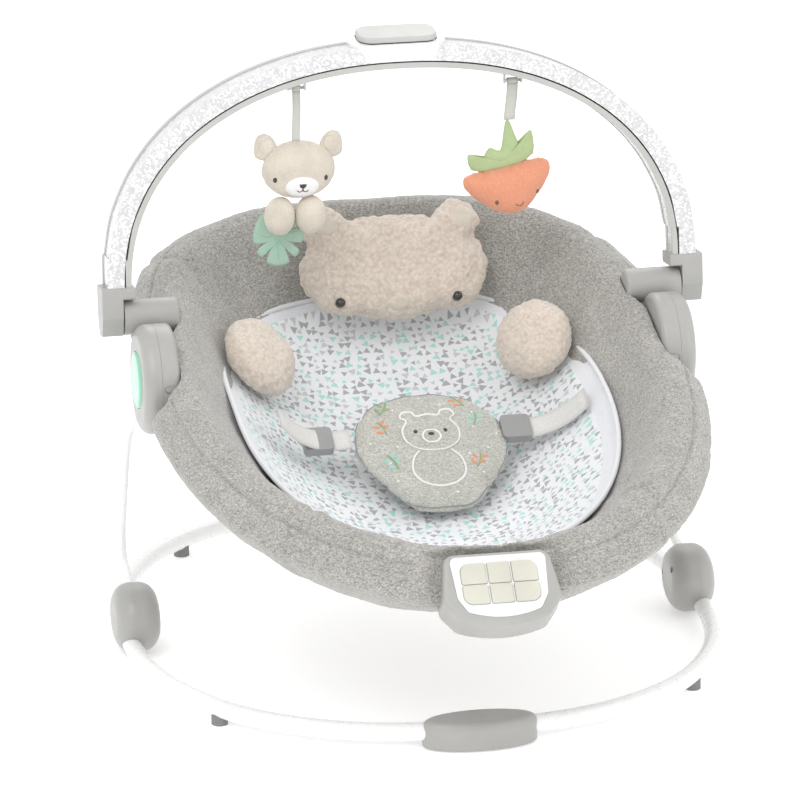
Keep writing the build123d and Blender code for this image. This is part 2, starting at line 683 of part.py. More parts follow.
pad_at = on_seat(0, -48, -78)
pad_plane = tilted_plane(pad_at.Y, pad_at.Z, SEAT_TILT + PAD_SLOPE)
with BuildPart() as crotch_pad:
    with BuildSketch(pad_plane) as pad_outline:
        with BuildLine():
            Polyline((-82, 22), (-70, -28), (-34, -74), (34, -74), (70, -28), (82, 22))
            ThreePointArc((-82, 22), (0, 78), (82, 22))
        make_face()
        fillet(pad_outline.vertices(), radius=16)
    extrude(amount=13)
save(crotch_pad.part, "crotch_pad")

strap_plane = pad_plane.offset(5)
with BuildPart() as buckle:
    with BuildSketch(strap_plane):
        with Locations((100, 18)):
            RectangleRounded(30, 30, 5)
    extrude(amount=9)
with BuildPart() as waist_strap:
    with BuildSketch(strap_plane.offset(3)):
        with Locations((124.5, 18)):
            Rectangle(19, 24)
    extrude(amount=2.5)
    add(seat_liner.part, mode=Mode.SUBTRACT)
    add(side_lobe.part, mode=Mode.SUBTRACT)
save_pair(buckle.part, "buckles")
save_pair(waist_strap.part.solids().sort_by(SortBy.VOLUME)[-1], "waist_straps")


# ---------------------------------------------------------------- toy bar
def bar_curve(inset):
    half = superellipse(BAR_HALF_WIDTH - inset, BAR_RISE - inset, BAR_SQUARENESS, 0, 180, 28)
    return [(x, BAR_BASE + y) for x, y in half]


def bar_layer(outer, inner, depth):
    outside = bar_curve(outer)
    inside = bar_curve(inner)
    with BuildPart() as layer:
        with BuildSketch(bar_plane):
            with BuildLine():
                Line((outside[0][0], BAR_FOOT), outside[0])
                Spline(*outside, tangents=((0, 1), (0, -1)))
                Line(outside[-1], (outside[-1][0], BAR_FOOT))
                Line((outside[-1][0], BAR_FOOT), (inside[-1][0], BAR_FOOT))
                Line((inside[-1][0], BAR_FOOT), inside[-1])
                Spline(*reversed(inside), tangents=((0, 1), (0, -1)))
                Line(inside[0], (inside[0][0], BAR_FOOT))
                Line((inside[0][0], BAR_FOOT), (outside[0][0], BAR_FOOT))
            make_face()
        extrude(amount=depth, both=True)
    return layer.part


def bar_wedge(foot_low, foot_high, top_low, top_high):
    top = BAR_BASE + BAR_RISE + 10
    with BuildPart() as wedge:
        with BuildSketch(bar_side):
            with BuildLine():
                Polyline((foot_low, 0), (foot_high, 0), (top_high, top), (top_low, top), close=True)
            make_face()
        extrude(amount=BAR_HALF_WIDTH + 10, both=True)
    return wedge.part


foot_half = BAR_FOOT_HALF_DEPTH
top_half = BAR_TOP_HALF_DEPTH
with BuildPart() as bar_rear_rail:
    add(bar_layer(0, BAR_THICK, 40))
    add(bar_wedge(foot_half - 6, foot_half, top_half - 11, top_half), mode=Mode.INTERSECT)
save(bar_rear_rail.part, "bar_rear_rail")
with BuildPart() as bar_front_rail:
    add(bar_layer(BAR_THICK - RAIL_RISE, BAR_THICK, 40))
    add(bar_wedge(-foot_half, -foot_half + 4, -top_half, -top_half + 6), mode=Mode.INTERSECT)
save(bar_front_rail.part, "bar_front_rail")
with BuildPart() as bar_diffuser:
    add(bar_layer(1.2, BAR_THICK - RAIL_RISE - DIFFUSER_GAP, 40))
    add(bar_wedge(-foot_half, foot_half - 6, -top_half, top_half - 11), mode=Mode.INTERSECT)
save(bar_diffuser.part, "bar_diffuser")

inner_curve_half = BAR_HALF_WIDTH - BAR_THICK
inner_curve_rise = BAR_RISE - BAR_THICK


def hang_height(x):
    share = 1 - (abs(x) / inner_curve_half) ** BAR_SQUARENESS
    return BAR_BASE + inner_curve_rise * share ** (1 / BAR_SQUARENESS) - TOY_DROP


def hang_point(x):
    return bar_plane.from_local_coords((x, hang_height(x), 0))


# The inner cover carries a small hanger bar for each toy
with BuildPart() as bar_inner_cover:
    add(bar_layer(BAR_THICK - RAIL_RISE, BAR_THICK - 0.5, 40))
    add(bar_wedge(-foot_half + 4, foot_half - 6, -top_half + 6, top_half - 11), mode=Mode.INTERSECT)
    for toy_x in (BEAR_X, BERRY_X):
        hanger = hang_point(toy_x)
        add(disc(toy_x - 9.5, toy_x + 9.5, hanger.Y, hanger.Z, 1.5))
        for lug_x in (toy_x - 9.5, toy_x + 7.5):
            with Locations((lug_x + 1, hanger.Y, hanger.Z + 5)):
                Box(2, 6, 14)
    add(bar_diffuser.part, mode=Mode.SUBTRACT)
save(bar_inner_cover.part.solids().sort_by(SortBy.VOLUME)[-1], "bar_inner_cover")

# Brackets: tapered sockets that take the ends of the bar and turn on the pins
with BuildPart() as bracket:
    with BuildSketch(bar_side.offset(BOSS_OUTER + 1.2)) as bracket_side:
        with BuildLine():
            Polyline((-9, -17), (9, -17), (17, 2), (17, 32), (-17, 32), (-17, 2), close=True)
        make_face()
        fillet(bracket_side.vertices(), radius=3)
    extrude(amount=303 - BOSS_OUTER - 1.2)
    with BuildSketch(bar_side.offset(270)) as hook_side:
        with Locations((0, 26)):
            RectangleRounded(34, 12, 2.5)
    extrude(amount=BOSS_OUTER + 1.2 - 270)
    add(bar_rear_rail.part, mode=Mode.SUBTRACT)
    add(bar_front_rail.part, mode=Mode.SUBTRACT)
    add(bar_diffuser.part, mode=Mode.SUBTRACT)
    add(bar_inner_cover.part, mode=Mode.SUBTRACT)
    pin_bore = disc(BOSS_OUTER - 1, BOSS_OUTER + 18.5, BOSS_Y, BOSS_Z, PIN_RADIUS + RUNNING_GAP)
    add(pin_bore, mode=Mode.SUBTRACT)
save_pair(bracket.part.solids().sort_by(SortBy.VOLUME)[-1], "bar_brackets")

# Light unit on the crown of the bar
crown_height = BAR_BASE + BAR_RISE
unit_lean = radians(UNIT_LEAN)
unit_plane = Plane(
    origin=bar_plane.from_local_coords((0, crown_height, 0)),
    x_dir=(1, 0, 0),
    z_dir=(0, -sin(unit_lean), cos(unit_lean)),
)
bar_core = bar_layer(0, BAR_THICK, 40) & bar_wedge(-foot_half, foot_half, -top_half, top_half)
with BuildPart() as light_housing:
    with BuildSketch(unit_plane.offset(-15)):
        RectangleRounded(96, 52, 18)
    extrude(amount=19)
    fillet(light_housing.faces().sort_by(Axis((0, 0, 0), unit_plane.z_dir))[-1].edges(), radius=3)
    for rail in (bar_rear_rail.part, bar_front_rail.part, bar_diffuser.part, bar_inner_cover.part):
        add(rail, mode=Mode.SUBTRACT)
    with BuildSketch(unit_plane.offset(0.5)):
        RectangleRounded(80, 42, 15)
    extrude(amount=10, mode=Mode.SUBTRACT)
    add(bar_core, mode=Mode.SUBTRACT)
housing_solids = light_housing.part.solids().sort_by(SortBy.VOLUME)
save(housing_solids[-1], "light_housing")
with BuildPart() as light_button:
    with BuildSketch(unit_plane.offset(5)):
        RectangleRounded(79, 41, 14.5)
    extrude(amount=5)
    fillet(light_button.faces().sort_by(Axis((0, 0, 0), unit_plane.z_dir))[-1].edges(), radius=2.5)
save(light_button.part, "light_button")


# ---------------------------------------------------------------- hanging toys
def ribbon(x, length, width):
    hanger = hang_point(x)
    with BuildPart() as strap:
        add(disc(x - width / 2, x + width / 2, hanger.Y, hanger.Z, 3.2))
        with Locations((x, hanger.Y, hanger.Z)):
            Box(width, 3, length, align=(Align.CENTER, Align.CENTER, Align.MAX))
        add(disc(x - 10, x + 10, hanger.Y, hanger.Z, 1.5 + RUNNING_GAP), mode=Mode.SUBTRACT)
    return strap.part


bear_hang = hang_point(BEAR_X)
bear_top = bear_hang.Z - BEAR_HANG
save(ribbon(BEAR_X, BEAR_HANG + 1, 8), "bear_ribbon")
with BuildPart() as bear_plush:
    with BuildSketch(facing_front(BEAR_X + 2, bear_hang.Y, bear_top - 32)) as head:
        Ellipse(37, 31)
        with Locations((-31, 24), (31, 24)):
            Circle(11)
    extrude(amount=17, both=True)
    with BuildSketch(facing_front(BEAR_X - 4, bear_hang.Y, bear_top - 78)):
        RectangleRounded(56, 44, 18)
    extrude(amount=14, both=True)
    with Locations((BEAR_X, bear_hang.Y, bear_top)):
        Box(8, 3, 4, mode=Mode.SUBTRACT)
save(bear_plush.part, "bear_plush")
with BuildPart() as bear_leaf:
    with BuildSketch(facing_front(BEAR_X - 16, bear_hang.Y + 17.5, bear_top - 104)):
        Ellipse(27, 31)
    extrude(amount=3)
save(bear_leaf.part, "bear_leaf")

berry_hang = hang_point(BERRY_X)
berry_top = berry_hang.Z - BERRY_HANG
save(ribbon(BERRY_X, BERRY_HANG - 44, 11), "berry_ribbon")
with BuildPart() as berry_plush:
    with BuildSketch(facing_front(BERRY_X - 7, berry_hang.Y, berry_top)) as berry:
        with BuildLine():
            Polyline((45, -3), (44, -18), (5, -58), (-5, -58), (-44, -18), (-45, -3), close=True)
        make_face()
        fillet(berry.vertices(), radius=9)
    extrude(amount=17, both=True)
save(berry_plush.part, "berry_plush")
with BuildPart() as berry_crown:
    with BuildSketch(facing_front(BERRY_X - 7, berry_hang.Y, berry_top)):
        with BuildLine():
            Polyline((-36, -2.5), (-38, 21), (-24, 12), (-14, 24), (-9, 13), (2, 49), close=False)
            Polyline((2, 49), (9, 49), (17, 16), (32, 36), (33, -2.5), (-36, -2.5))
        make_face()
    extrude(amount=5, both=True)
    add(ribbon(BERRY_X, BERRY_HANG - 44, 11), mode=Mode.SUBTRACT)
save(berry_crown.part.solids().sort_by(SortBy.VOLUME)[-1], "berry_crown")
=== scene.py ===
import json
import bpy
import numpy as np
from math import atan2, cos, exp, hypot, pi, radians, sin, sqrt
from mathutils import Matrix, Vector, noise
from mathutils.bvhtree import BVHTree


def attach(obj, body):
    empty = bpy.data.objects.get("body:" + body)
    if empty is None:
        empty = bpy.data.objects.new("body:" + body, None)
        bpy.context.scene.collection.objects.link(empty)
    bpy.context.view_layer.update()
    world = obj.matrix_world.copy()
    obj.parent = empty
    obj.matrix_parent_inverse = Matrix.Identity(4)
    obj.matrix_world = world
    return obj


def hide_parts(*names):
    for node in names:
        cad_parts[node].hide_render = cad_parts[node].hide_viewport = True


MM = 0.001
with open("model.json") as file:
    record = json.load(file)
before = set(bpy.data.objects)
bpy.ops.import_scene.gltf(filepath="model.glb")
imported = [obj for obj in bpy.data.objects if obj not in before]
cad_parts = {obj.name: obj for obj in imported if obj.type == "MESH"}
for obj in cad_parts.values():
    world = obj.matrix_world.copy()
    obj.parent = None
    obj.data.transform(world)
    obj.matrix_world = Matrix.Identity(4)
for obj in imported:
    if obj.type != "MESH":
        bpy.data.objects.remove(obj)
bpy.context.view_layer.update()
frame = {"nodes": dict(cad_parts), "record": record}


# ------------------------------------------------------------------ geometry helpers
class Flat:
    """A drawing plane in millimetres: across, up, and out of the plane."""

    def __init__(self, origin, up_angle):
        self.origin = Vector(origin)
        self.across = Vector((1, 0, 0))
        self.up = Vector((0, cos(radians(up_angle)), sin(radians(up_angle))))
        self.out = self.across.cross(self.up)

    def at(self, x, y, z=0.0):
        return self.origin + self.across * x + self.up * y + self.out * z


# Axes and driving sizes of the frame, in millimetres
HUB_Y = 52
HUB_Z = 281
HUB_CLEARANCE = 55.5
HUB_FACE = 239.2
BOSS_Y = 107
BOSS_Z = 328
BOSS_CLEARANCE = 19.0
BOSS_FACE = 224.5
LINK_CLEARANCE = 8.0
LINK_FACE = 242.5
BAR_HALF_WIDTH = 273.0
BAR_RISE = 205
BAR_BASE = 30
BAR_SQUARENESS = 2.2
TOY_DROP = 6
BEAR_X = -101
BEAR_HANG = 52
BERRY_X = 116.5
BERRY_HANG = 88

SEAT = Flat((0, HUB_Y, HUB_Z), 13.8)
HEAD = Flat(SEAT.at(14, 182, 0), 65.8)
PAD = Flat(SEAT.at(12, -50, -78), 27.8)
PANEL = Flat((0, -354, 194), 45)
BAR = Flat((0, BOSS_Y, BOSS_Z), 82.5)


def hang_point(x):
    """Where a toy's ribbon goes round its hanger under the bar."""
    share = 1 - (abs(x) / BAR_HALF_WIDTH) ** BAR_SQUARENESS
    return BAR.at(x, BAR_BASE + BAR_RISE * share ** (1 / BAR_SQUARENESS) - TOY_DROP)


def make_mesh(name, points, faces, material, body, smooth=True):
    mesh = bpy.data.meshes.new(name)
    mesh.from_pydata([tuple(p * MM) for p in points], [], faces)
    mesh.validate()
    mesh.update()
    thing = bpy.data.objects.new(name, mesh)
    bpy.context.scene.collection.objects.link(thing)
    if smooth:
        mesh.polygons.foreach_set("use_smooth", [True] * len(mesh.polygons))
    if material is not None:
        mesh.materials.append(material)
    if body:
        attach(thing, body)
    return thing


def rings_mesh(name, rings, material, body, cap_start=False, cap_end=False):
    """Joins closed rings of equal length with quads."""
    count = len(rings[0])
    points = [p for ring in rings for p in ring]
    faces = []
    for row in range(len(rings) - 1):
        for col in range(count):
            after = (col + 1) % count
            faces.append((row * count + col, row * count + after,
                          (row + 1) * count + after, (row + 1) * count + col))
    if cap_start:
        points.append(sum(rings[0], Vector()) / count)
        hub = len(points) - 1
        faces += [(hub, (col + 1) % count, col) for col in range(count)]
    if cap_end:
        points.append(sum(rings[-1], Vector()) / count)
        hub = len(points) - 1
        base = (len(rings) - 1) * count
        faces += [(hub, base + col, base + (col + 1) % count) for col in range(count)]
    return make_mesh(name, points, faces, material, body)


def smooth_curve(points, steps, closed=False):
    """Catmull-Rom through points given as tuples of any length."""
    data = [np.array(p, float) for p in points]
    count = len(data)
    result = []
    spans = count if closed else count - 1
    for i in range(spans):
        if closed:
            a, b, c, d = data[i - 1], data[i], data[(i + 1) % count], data[(i + 2) % count]
        else:
            a = data[i - 1] if i else 2 * data[0] - data[1]
            b, c = data[i], data[i + 1]
            d = data[i + 2] if i + 2 < count else 2 * data[-1] - data[-2]
        for k in range(steps):
            t = k / steps
            result.append(0.5 * (2 * b + (c - a) * t + (2 * a - 5 * b + 4 * c - d) * t * t
                                 + (3 * b - a - 3 * c + d) * t ** 3))
    if not closed:
        result.append(data[-1])
    return result


def tube_mesh(name, path, radius, material, body, closed=False, sides=8, flat=1.0):
    """A tube along a list of points; flat below 1 squeezes it towards a ribbon."""
    path = [Vector(p) for p in path]
    count = len(path)
    rings = []
    normal = None
    for i in range(count):
        before = path[i - 1] if i or closed else path[i]
        after = path[(i + 1) % count] if closed or i + 1 < count else path[i]
        along = (after - before).normalized()
        if normal is None:
            guess = Vector((0, 0, 1)) if abs(along.z) < 0.9 else Vector((0, 1, 0))
            normal = along.cross(guess).normalized()
        normal = (normal - along * normal.dot(along)).normalized()
        side = along.cross(normal)
        rings.append([path[i] + (normal * cos(a) + side * sin(a) * flat) * radius
                      for a in [2 * pi * k / sides for k in range(sides)]])
    if closed:
        rings.append(rings[0])
    return rings_mesh(name, rings, material, body, not closed, not closed)


def puff_points(flat, outline, centre, front, back, rings=16, power=2.6, ridge=2.0):
    """A crowned, closed shape over a star-shaped outline. Returns points and faces."""
    count = len(outline)
    points, faces = [], []
    levels = [(r / rings, 1) for r in range(1, rings + 1)]
    levels += [(r / rings, -1) for r in range(rings - 1, 0, -1)]
    for share, side in levels:
        eased = share ** 0.8
        high = (front if side > 0 else back) * (1 - eased ** power) ** (1 / ridge)
        for x, y in outline:
            px = centre[0] + (x - centre[0]) * eased
            py = centre[1] + (y - centre[1]) * eased
            points.append(flat.at(px, py, side * high))
    for row in range(len(levels) - 1):
        for col in range(count):
            after = (col + 1) % count
            faces.append((row * count + col, (row + 1) * count + col,
                          (row + 1) * count + after, row * count + after))
    points.append(flat.at(centre[0], centre[1], front))
    top = len(points) - 1
    faces += [(top, col, (col + 1) % count) for col in range(count)]
    points.append(flat.at(centre[0], centre[1], -back))
    low = len(points) - 1
    base = (len(levels) - 1) * count
    faces += [(low, base + (col + 1) % count, base + col) for col in range(count)]
    return points, faces


def puff(name, flat, outline, centre, front, back, material, body, **more):
    points, faces = puff_points(flat, outline, centre, front, back, **more)
    return make_mesh(name, points, faces, material, body)


def ellipse(x, y, rx, ry, count=48, turn=0.0):
    c, s = cos(radians(turn)), sin(radians(turn))
    return [(x + rx * cos(a) * c - ry * sin(a) * s, y + rx * cos(a) * s + ry * sin(a) * c)
            for a in [2 * pi * k / count for k in range(count)]]


def union_outline(shapes, centre, count=180):
    """The outer edge of several ellipses (x, y, rx, ry) seen from centre."""
    edge = []
    for k in range(count):
        a = 2 * pi * k / count
        dx, dy = cos(a), sin(a)
        far = 0.0
        for x, y, rx, ry in shapes:
            ox, oy = (centre[0] - x) / rx, (centre[1] - y) / ry
            ux, uy = dx / rx, dy / ry
            qa = ux * ux + uy * uy
            qb = ox * ux + oy * uy
            qc = ox * ox + oy * oy - 1
            inside = qb * qb - qa * qc
            if inside > 0:
                far = max(far, (-qb + sqrt(inside)) / qa)
        edge.append((centre[0] + dx * far, centre[1] + dy * far))
    return edge


def apply_modifiers(thing):
    depsgraph = bpy.context.evaluated_depsgraph_get()
    fresh = bpy.data.meshes.new_from_object(thing.evaluated_get(depsgraph))
    thing.modifiers.clear()
    thing.data = fresh
    fresh.polygons.foreach_set("use_smooth", [True] * len(fresh.polygons))
    return thing


def coordinates(mesh):
    flat = np.zeros(len(mesh.vertices) * 3, np.float32)
    mesh.vertices.foreach_get("co", flat)
    return flat.reshape(-1, 3)


def inflate(thing, voxel, pressure, cap, frames=18, stiffness=12.0):
    """Remeshes a closed shape and swells it as stuffed cloth, by no more than cap millimetres."""
    remesh = thing.modifiers.new("remesh", "REMESH")
    remesh.mode = "VOXEL"
    remesh.voxel_size = voxel * MM
    apply_modifiers(thing)
    relax = thing.modifiers.new("relax", "SMOOTH")
    relax.iterations = 4
    relax.factor = 0.5
    apply_modifiers(thing)
    start = coordinates(thing.data)
    cloth = thing.modifiers.new("cloth", "CLOTH")
    cloth.settings.quality = 4
    cloth.settings.tension_stiffness = stiffness
    cloth.settings.compression_stiffness = stiffness
    cloth.settings.bending_stiffness = 0.6
    cloth.settings.use_pressure = True
    cloth.settings.uniform_pressure_force = pressure
    cloth.settings.effector_weights.gravity = 0
    cloth.collision_settings.use_collision = False
    cloth.point_cache.frame_start = 1
    cloth.point_cache.frame_end = frames
    for step in range(1, frames + 1):
        bpy.context.scene.frame_set(step)
    depsgraph = bpy.context.evaluated_depsgraph_get()
    swollen = coordinates(thing.evaluated_get(depsgraph).data)
    move = swollen - start
    size = np.linalg.norm(move, axis=1, keepdims=True) + 1e-9
    limit = cap * MM
    move *= np.where(size > limit, limit / size, 1.0)
    thing.modifiers.clear()
    thing.data.vertices.foreach_set("co", (start + move).astype(np.float32).ravel())
    thing.data.update()
    bpy.context.scene.frame_set(1)
    thing.data.polygons.foreach_set("use_smooth", [True] * len(thing.data.polygons))
    return thing


def subdivide(thing, level=1):
    surface = thing.modifiers.new("subdivision", "SUBSURF")
    surface.levels = level
    surface.render_levels = level
    return apply_modifiers(thing)


def roughen(thing, move):
    """Moves every vertex along its normal by move(point in mm, normal) millimetres."""
    mesh = thing.data
    mesh.update()
    normals = [v.normal.copy() for v in mesh.vertices]
    for vertex, normal in zip(mesh.vertices, normals):
        vertex.co += normal * move(vertex.co / MM, normal) * MM
    mesh.update()


def curls(size, height):
    """Small round tufts of pile."""

    def move(point, normal):
        spread = noise.noise_vector(point / (size * 2.2)) * size * 0.5
        near = noise.voronoi((point + spread) / size)[0][0]
        return height * (1 - min(near, 1.2) ** 2) + height * 0.6 * noise.noise(point / (size * 3))

    return move


def surface_of(thing):
    mesh = thing.data
    points = [v.co / MM for v in mesh.vertices]
    return BVHTree.FromPolygons(points, [tuple(p.vertices) for p in mesh.polygons])


def drop(tree, flat, x, y, lift, start=120.0):
    """The point of a surface in front of (x, y) on a plane, lifted along the plane's normal."""
    hit = tree.ray_cast(flat.at(x, y, start), -flat.out)
    if hit[0] is None:
        near = tree.find_nearest(flat.at(x, y, 0))
        return near[0] + flat.out * lift
    return hit[0] + hit[1] * lift


def lay_thread(name, tree, flat, points, radius, material, body, closed=False, steps=6, flatness=0.7):
    curve = smooth_curve(points, steps, closed)
    path = [drop(tree, flat, p[0], p[1], radius * 0.35) for p in curve]
    return tube_mesh(name, path, radius, material, body, closed, 6, flatness)


def lay_patch(name, tree, flat, outline, material, body, lift=0.9, rings=5):
    """An applied or embroidered patch that follows the surface under it."""
    cx = sum(p[0] for p in outline) / len(outline)
    cy = sum(p[1] for p in outline) / len(outline)
    rows = []
    for k in range(rings + 1):
        share = 0.02 + 0.98 * k / rings
        high = lift * sqrt(max(0.0, 1 - share ** 5)) - 0.15 * share ** 6
        rows.append([drop(tree, flat, cx + (x - cx) * share, cy + (y - cy) * share, high)
                     for x, y in outline])
    return rings_mesh(name, rows[::-1], material, body, False, True)


def bead(name, place, out, radius, material, body):
    """A small domed safety eye seated in the cloth."""
    out = Vector(out).normalized()
    side = out.cross(Vector((0, 0, 1))).normalized()
    up = side.cross(out)
    rows = []
    for share, high in ((1.06, -1.2), (1.0, 0.15), (0.9, 0.42), (0.68, 0.66), (0.36, 0.84), (0.08, 0.9)):
        rows.append([place + (side * cos(a) + up * sin(a)) * radius * share + out * radius * high
                     for a in [2 * pi * k / 24 for k in range(24)]])
    return rings_mesh(name, rows, material, body, False, True)


# ------------------------------------------------------------------ materials
class Look:
    """Builds one node material."""

    def __init__(self, name, roughness=0.5, **inputs):
        self.material = bpy.data.materials.new(name)
        self.material.use_nodes = True
        self.tree = self.material.node_tree
        self.shader = self.tree.nodes["Principled BSDF"]
        self.shader.inputs["Roughness"].default_value = roughness
        for key, value in inputs.items():
            self.shader.inputs[key.replace("_", " ")].default_value = value
        self.coords = self.node("ShaderNodeTexCoord").outputs["Object"]

    def node(self, kind, **settings):
        made = self.tree.nodes.new(kind)
        for key, value in settings.items():
            setattr(made, key, value)
        return made

    def link(self, source, target):
        if isinstance(source, (int, float)):
            target.default_value = source
        elif isinstance(source, tuple):
            target.default_value = source if len(source) == len(target.default_value) else source + (1.0,)
        else:
            self.tree.links.new(source, target)

    def noise(self, size, detail=3.0, rough=0.55, stretch=None):
        """Noise whose features are about size millimetres."""
        made = self.node("ShaderNodeTexNoise")
        made.inputs["Scale"].default_value = 1.0 / (size * MM)
        made.inputs["Detail"].default_value = detail
        made.inputs["Roughness"].default_value = rough
        source = self.coords
        if stretch:
            mapping = self.node("ShaderNodeMapping")
            mapping.inputs["Scale"].default_value = stretch
            self.link(self.coords, mapping.inputs["Vector"])
            source = mapping.outputs["Vector"]
        self.link(source, made.inputs["Vector"])
        return made.outputs["Fac"]

    def cells(self, size, output="Distance", feature="F1", vector=None, dimensions="3D", random=1.0):
        made = self.node("ShaderNodeTexVoronoi", feature=feature, voronoi_dimensions=dimensions)
        made.inputs["Scale"].default_value = 1.0 / (size * MM)
        made.inputs["Randomness"].default_value = random
        self.link(vector or self.coords, made.inputs["Vector"])
        return made.outputs[output]

    def ramp(self, factor, stops, constant=False):
        made = self.node("ShaderNodeValToRGB")
        band = made.color_ramp
        if constant:
            band.interpolation = "CONSTANT"
        while len(band.elements) < len(stops):
            band.elements.new(0.5)
        for element, (place, colour) in zip(band.elements, stops):
            element.position = place
            value = colour if isinstance(colour, tuple) else (colour,) * 3
            element.color = value + (1.0,)
        self.link(factor, made.inputs["Fac"])
        return made.outputs["Color"]

    def mix(self, factor, a, b, kind="MIX"):
        made = self.node("ShaderNodeMix", data_type="RGBA", blend_type=kind)
        self.link(factor, made.inputs[0])
        self.link(a, made.inputs[6])
        self.link(b, made.inputs[7])
        return made.outputs[2]

    def math(self, kind, a, b=0.0):
        made = self.node("ShaderNodeMath", operation=kind)
        self.link(a, made.inputs[0])
        self.link(b, made.inputs[1])
        return made.outputs[0]

    def bump(self, height, strength, distance, under=None):
        made = self.node("ShaderNodeBump")
        made.inputs["Strength"].default_value = strength
        made.inputs["Distance"].default_value = distance * MM
        self.link(height, made.inputs["Height"])
        if under is not None:
            self.link(under, made.inputs["Normal"])
        return made.outputs["Normal"]

    def finish(self, colour=None, normal=None, roughness=None):
        for value, name in ((colour, "Base Color"), (normal, "Normal"), (roughness, "Roughness")):
            if value is not None:
                self.link(value, self.shader.inputs[name])
        return self.material


def shade(colour, amount):
    return tuple(min(1.0, c * amount) for c in colour)


def moulded(name, colour, roughness=0.42, coat=0.0, grain=0.35, grain_size=0.55):
    """Moulded plastic: faint clouding, a fine spark-eroded grain, uneven gloss."""
    look = Look(name, roughness, Coat_Weight=coat, Coat_Roughness=0.18)
    cloud = look.noise(45, 4)
    tint = look.ramp(cloud, [(0.3, shade(colour, 0.94)), (0.7, shade(colour, 1.05))])
    grains = look.noise(grain_size, 2, 0.6)
    speck = look.ramp(grains, [(0.35, 0.93), (0.65, 1.0)])
    rough = look.ramp(look.noise(18, 5), [(0.3, roughness * 0.85), (0.7, roughness * 1.18)])
    normal = look.bump(grains, grain, 0.12)
    return look.finish(look.mix(1.0, tint, speck, "MULTIPLY"), normal, rough)


def powder_coat(name, colour):
    """White powder coat: orange peel under a thin gloss."""
    look = Look(name, 0.3, Coat_Weight=0.35, Coat_Roughness=0.12)
    tint = look.ramp(look.noise(60, 3), [(0.3, shade(colour, 0.97)), (0.7, colour)])
    peel = look.bump(look.noise(2.4, 2), 0.04, 0.05)
    rough = look.ramp(look.noise(8, 4), [(0.3, 0.24), (0.75, 0.36)])
    return look.finish(tint, peel, rough)


def pile(name, dark, light, fleck=0.5, nap=0.8, patch=22.0, strength=0.75, contrast=0.12, sheen=0.35):
    """Short pile fabric: heathered fibres, brushed patches, soft sheen."""
    look = Look(name, 0.92, Sheen_Weight=sheen, Sheen_Roughness=0.55)
    look.shader.inputs["Specular IOR Level"].default_value = 0.15
    fibres = look.noise(nap, 4, 0.7)
    colour = look.ramp(fibres, [(0.5 - contrast, dark), (0.5 + contrast, light)])
    brushed = look.ramp(look.noise(patch, 3), [(0.3, 0.9), (0.7, 1.04)])
    colour = look.mix(1.0, colour, brushed, "MULTIPLY")
    flecks = look.ramp(look.noise(nap * 2.4, 2, 0.5, (1.0, 1.0, 2.6)), [(0.34, 0.74), (0.62, 1.1)])
    colour = look.mix(fleck, colour, look.mix(1.0, colour, flecks, "MULTIPLY"))
    deep = look.bump(look.noise(nap * 3, 3, 0.6), strength * 0.5, 1.2)
    return look.finish(colour, look.bump(fibres, strength, 0.7, deep))


def curly(name, dark, light):
    """Sherpa: round tufts, with shade painted into the gaps between them."""
    look = Look(name, 0.95, Sheen_Weight=0.45, Sheen_Roughness=0.6)
    look.shader.inputs["Specular IOR Level"].default_value = 0.1
    tuft = look.cells(3.6, feature="SMOOTH_F1")
    fine = look.noise(0.9, 4, 0.75)
    # painted shade: the colour darkens from the middle of each tuft towards the gaps between tufts
    colour = look.ramp(tuft, [(0.1, light), (0.75, dark)])
    colour = look.mix(0.5, colour, look.ramp(fine, [(0.35, dark), (0.62, light)]))
    worn = look.ramp(look.noise(26, 3), [(0.3, 0.94), (0.7, 1.03)])
    colour = look.mix(1.0, colour, worn, "MULTIPLY")
    soft = look.bump(look.ramp(tuft, [(0.0, 1.0), (0.9, 0.0)]), 0.75, 1.6)
    return look.finish(colour, look.bump(fine, 0.6, 0.6, soft))


def woven(name, colour, thread=0.45, sheen=0.2, slub=0.06):
    """Plain weave seen from close by: crossing threads with slubs."""
    look = Look(name, 0.85, Sheen_Weight=sheen, Sheen_Roughness=0.5)
    look.shader.inputs["Specular IOR Level"].default_value = 0.25
    weave = None
    for axis in ("X", "Z"):
        wave = look.node("ShaderNodeTexWave", bands_direction=axis)
        wave.inputs["Scale"].default_value = 0.32 / (thread * MM)
        wave.inputs["Distortion"].default_value = 0.6
        look.link(look.coords, wave.inputs["Vector"])
        weave = wave.outputs["Fac"] if weave is None else look.math("MULTIPLY", weave, wave.outputs["Fac"])
    slubs = look.noise(2.2, 4, 0.7)
    tint = look.ramp(slubs, [(0.3, shade(colour, 1 - slub)), (0.7, shade(colour, 1 + slub * 0.6))])
    tint = look.mix(1.0, tint, look.ramp(weave, [(0.0, 0.93), (0.5, 1.0)]), "MULTIPLY")
    return look.finish(tint, look.bump(weave, 0.35, 0.25, look.bump(slubs, 0.3, 0.4)))


def felt(name, colour):
    look = Look(name, 0.9, Sheen_Weight=0.3, Sheen_Roughness=0.5)
    look.shader.inputs["Specular IOR Level"].default_value = 0.15
    hairs = look.noise(0.7, 5, 0.75)
    tint = look.ramp(hairs, [(0.35, shade(colour, 0.9)), (0.65, shade(colour, 1.06))])
    tint = look.mix(1.0, tint, look.ramp(look.noise(9, 3), [(0.3, 0.95), (0.7, 1.03)]), "MULTIPLY")
    return look.finish(tint, look.bump(hairs, 0.5, 0.5))


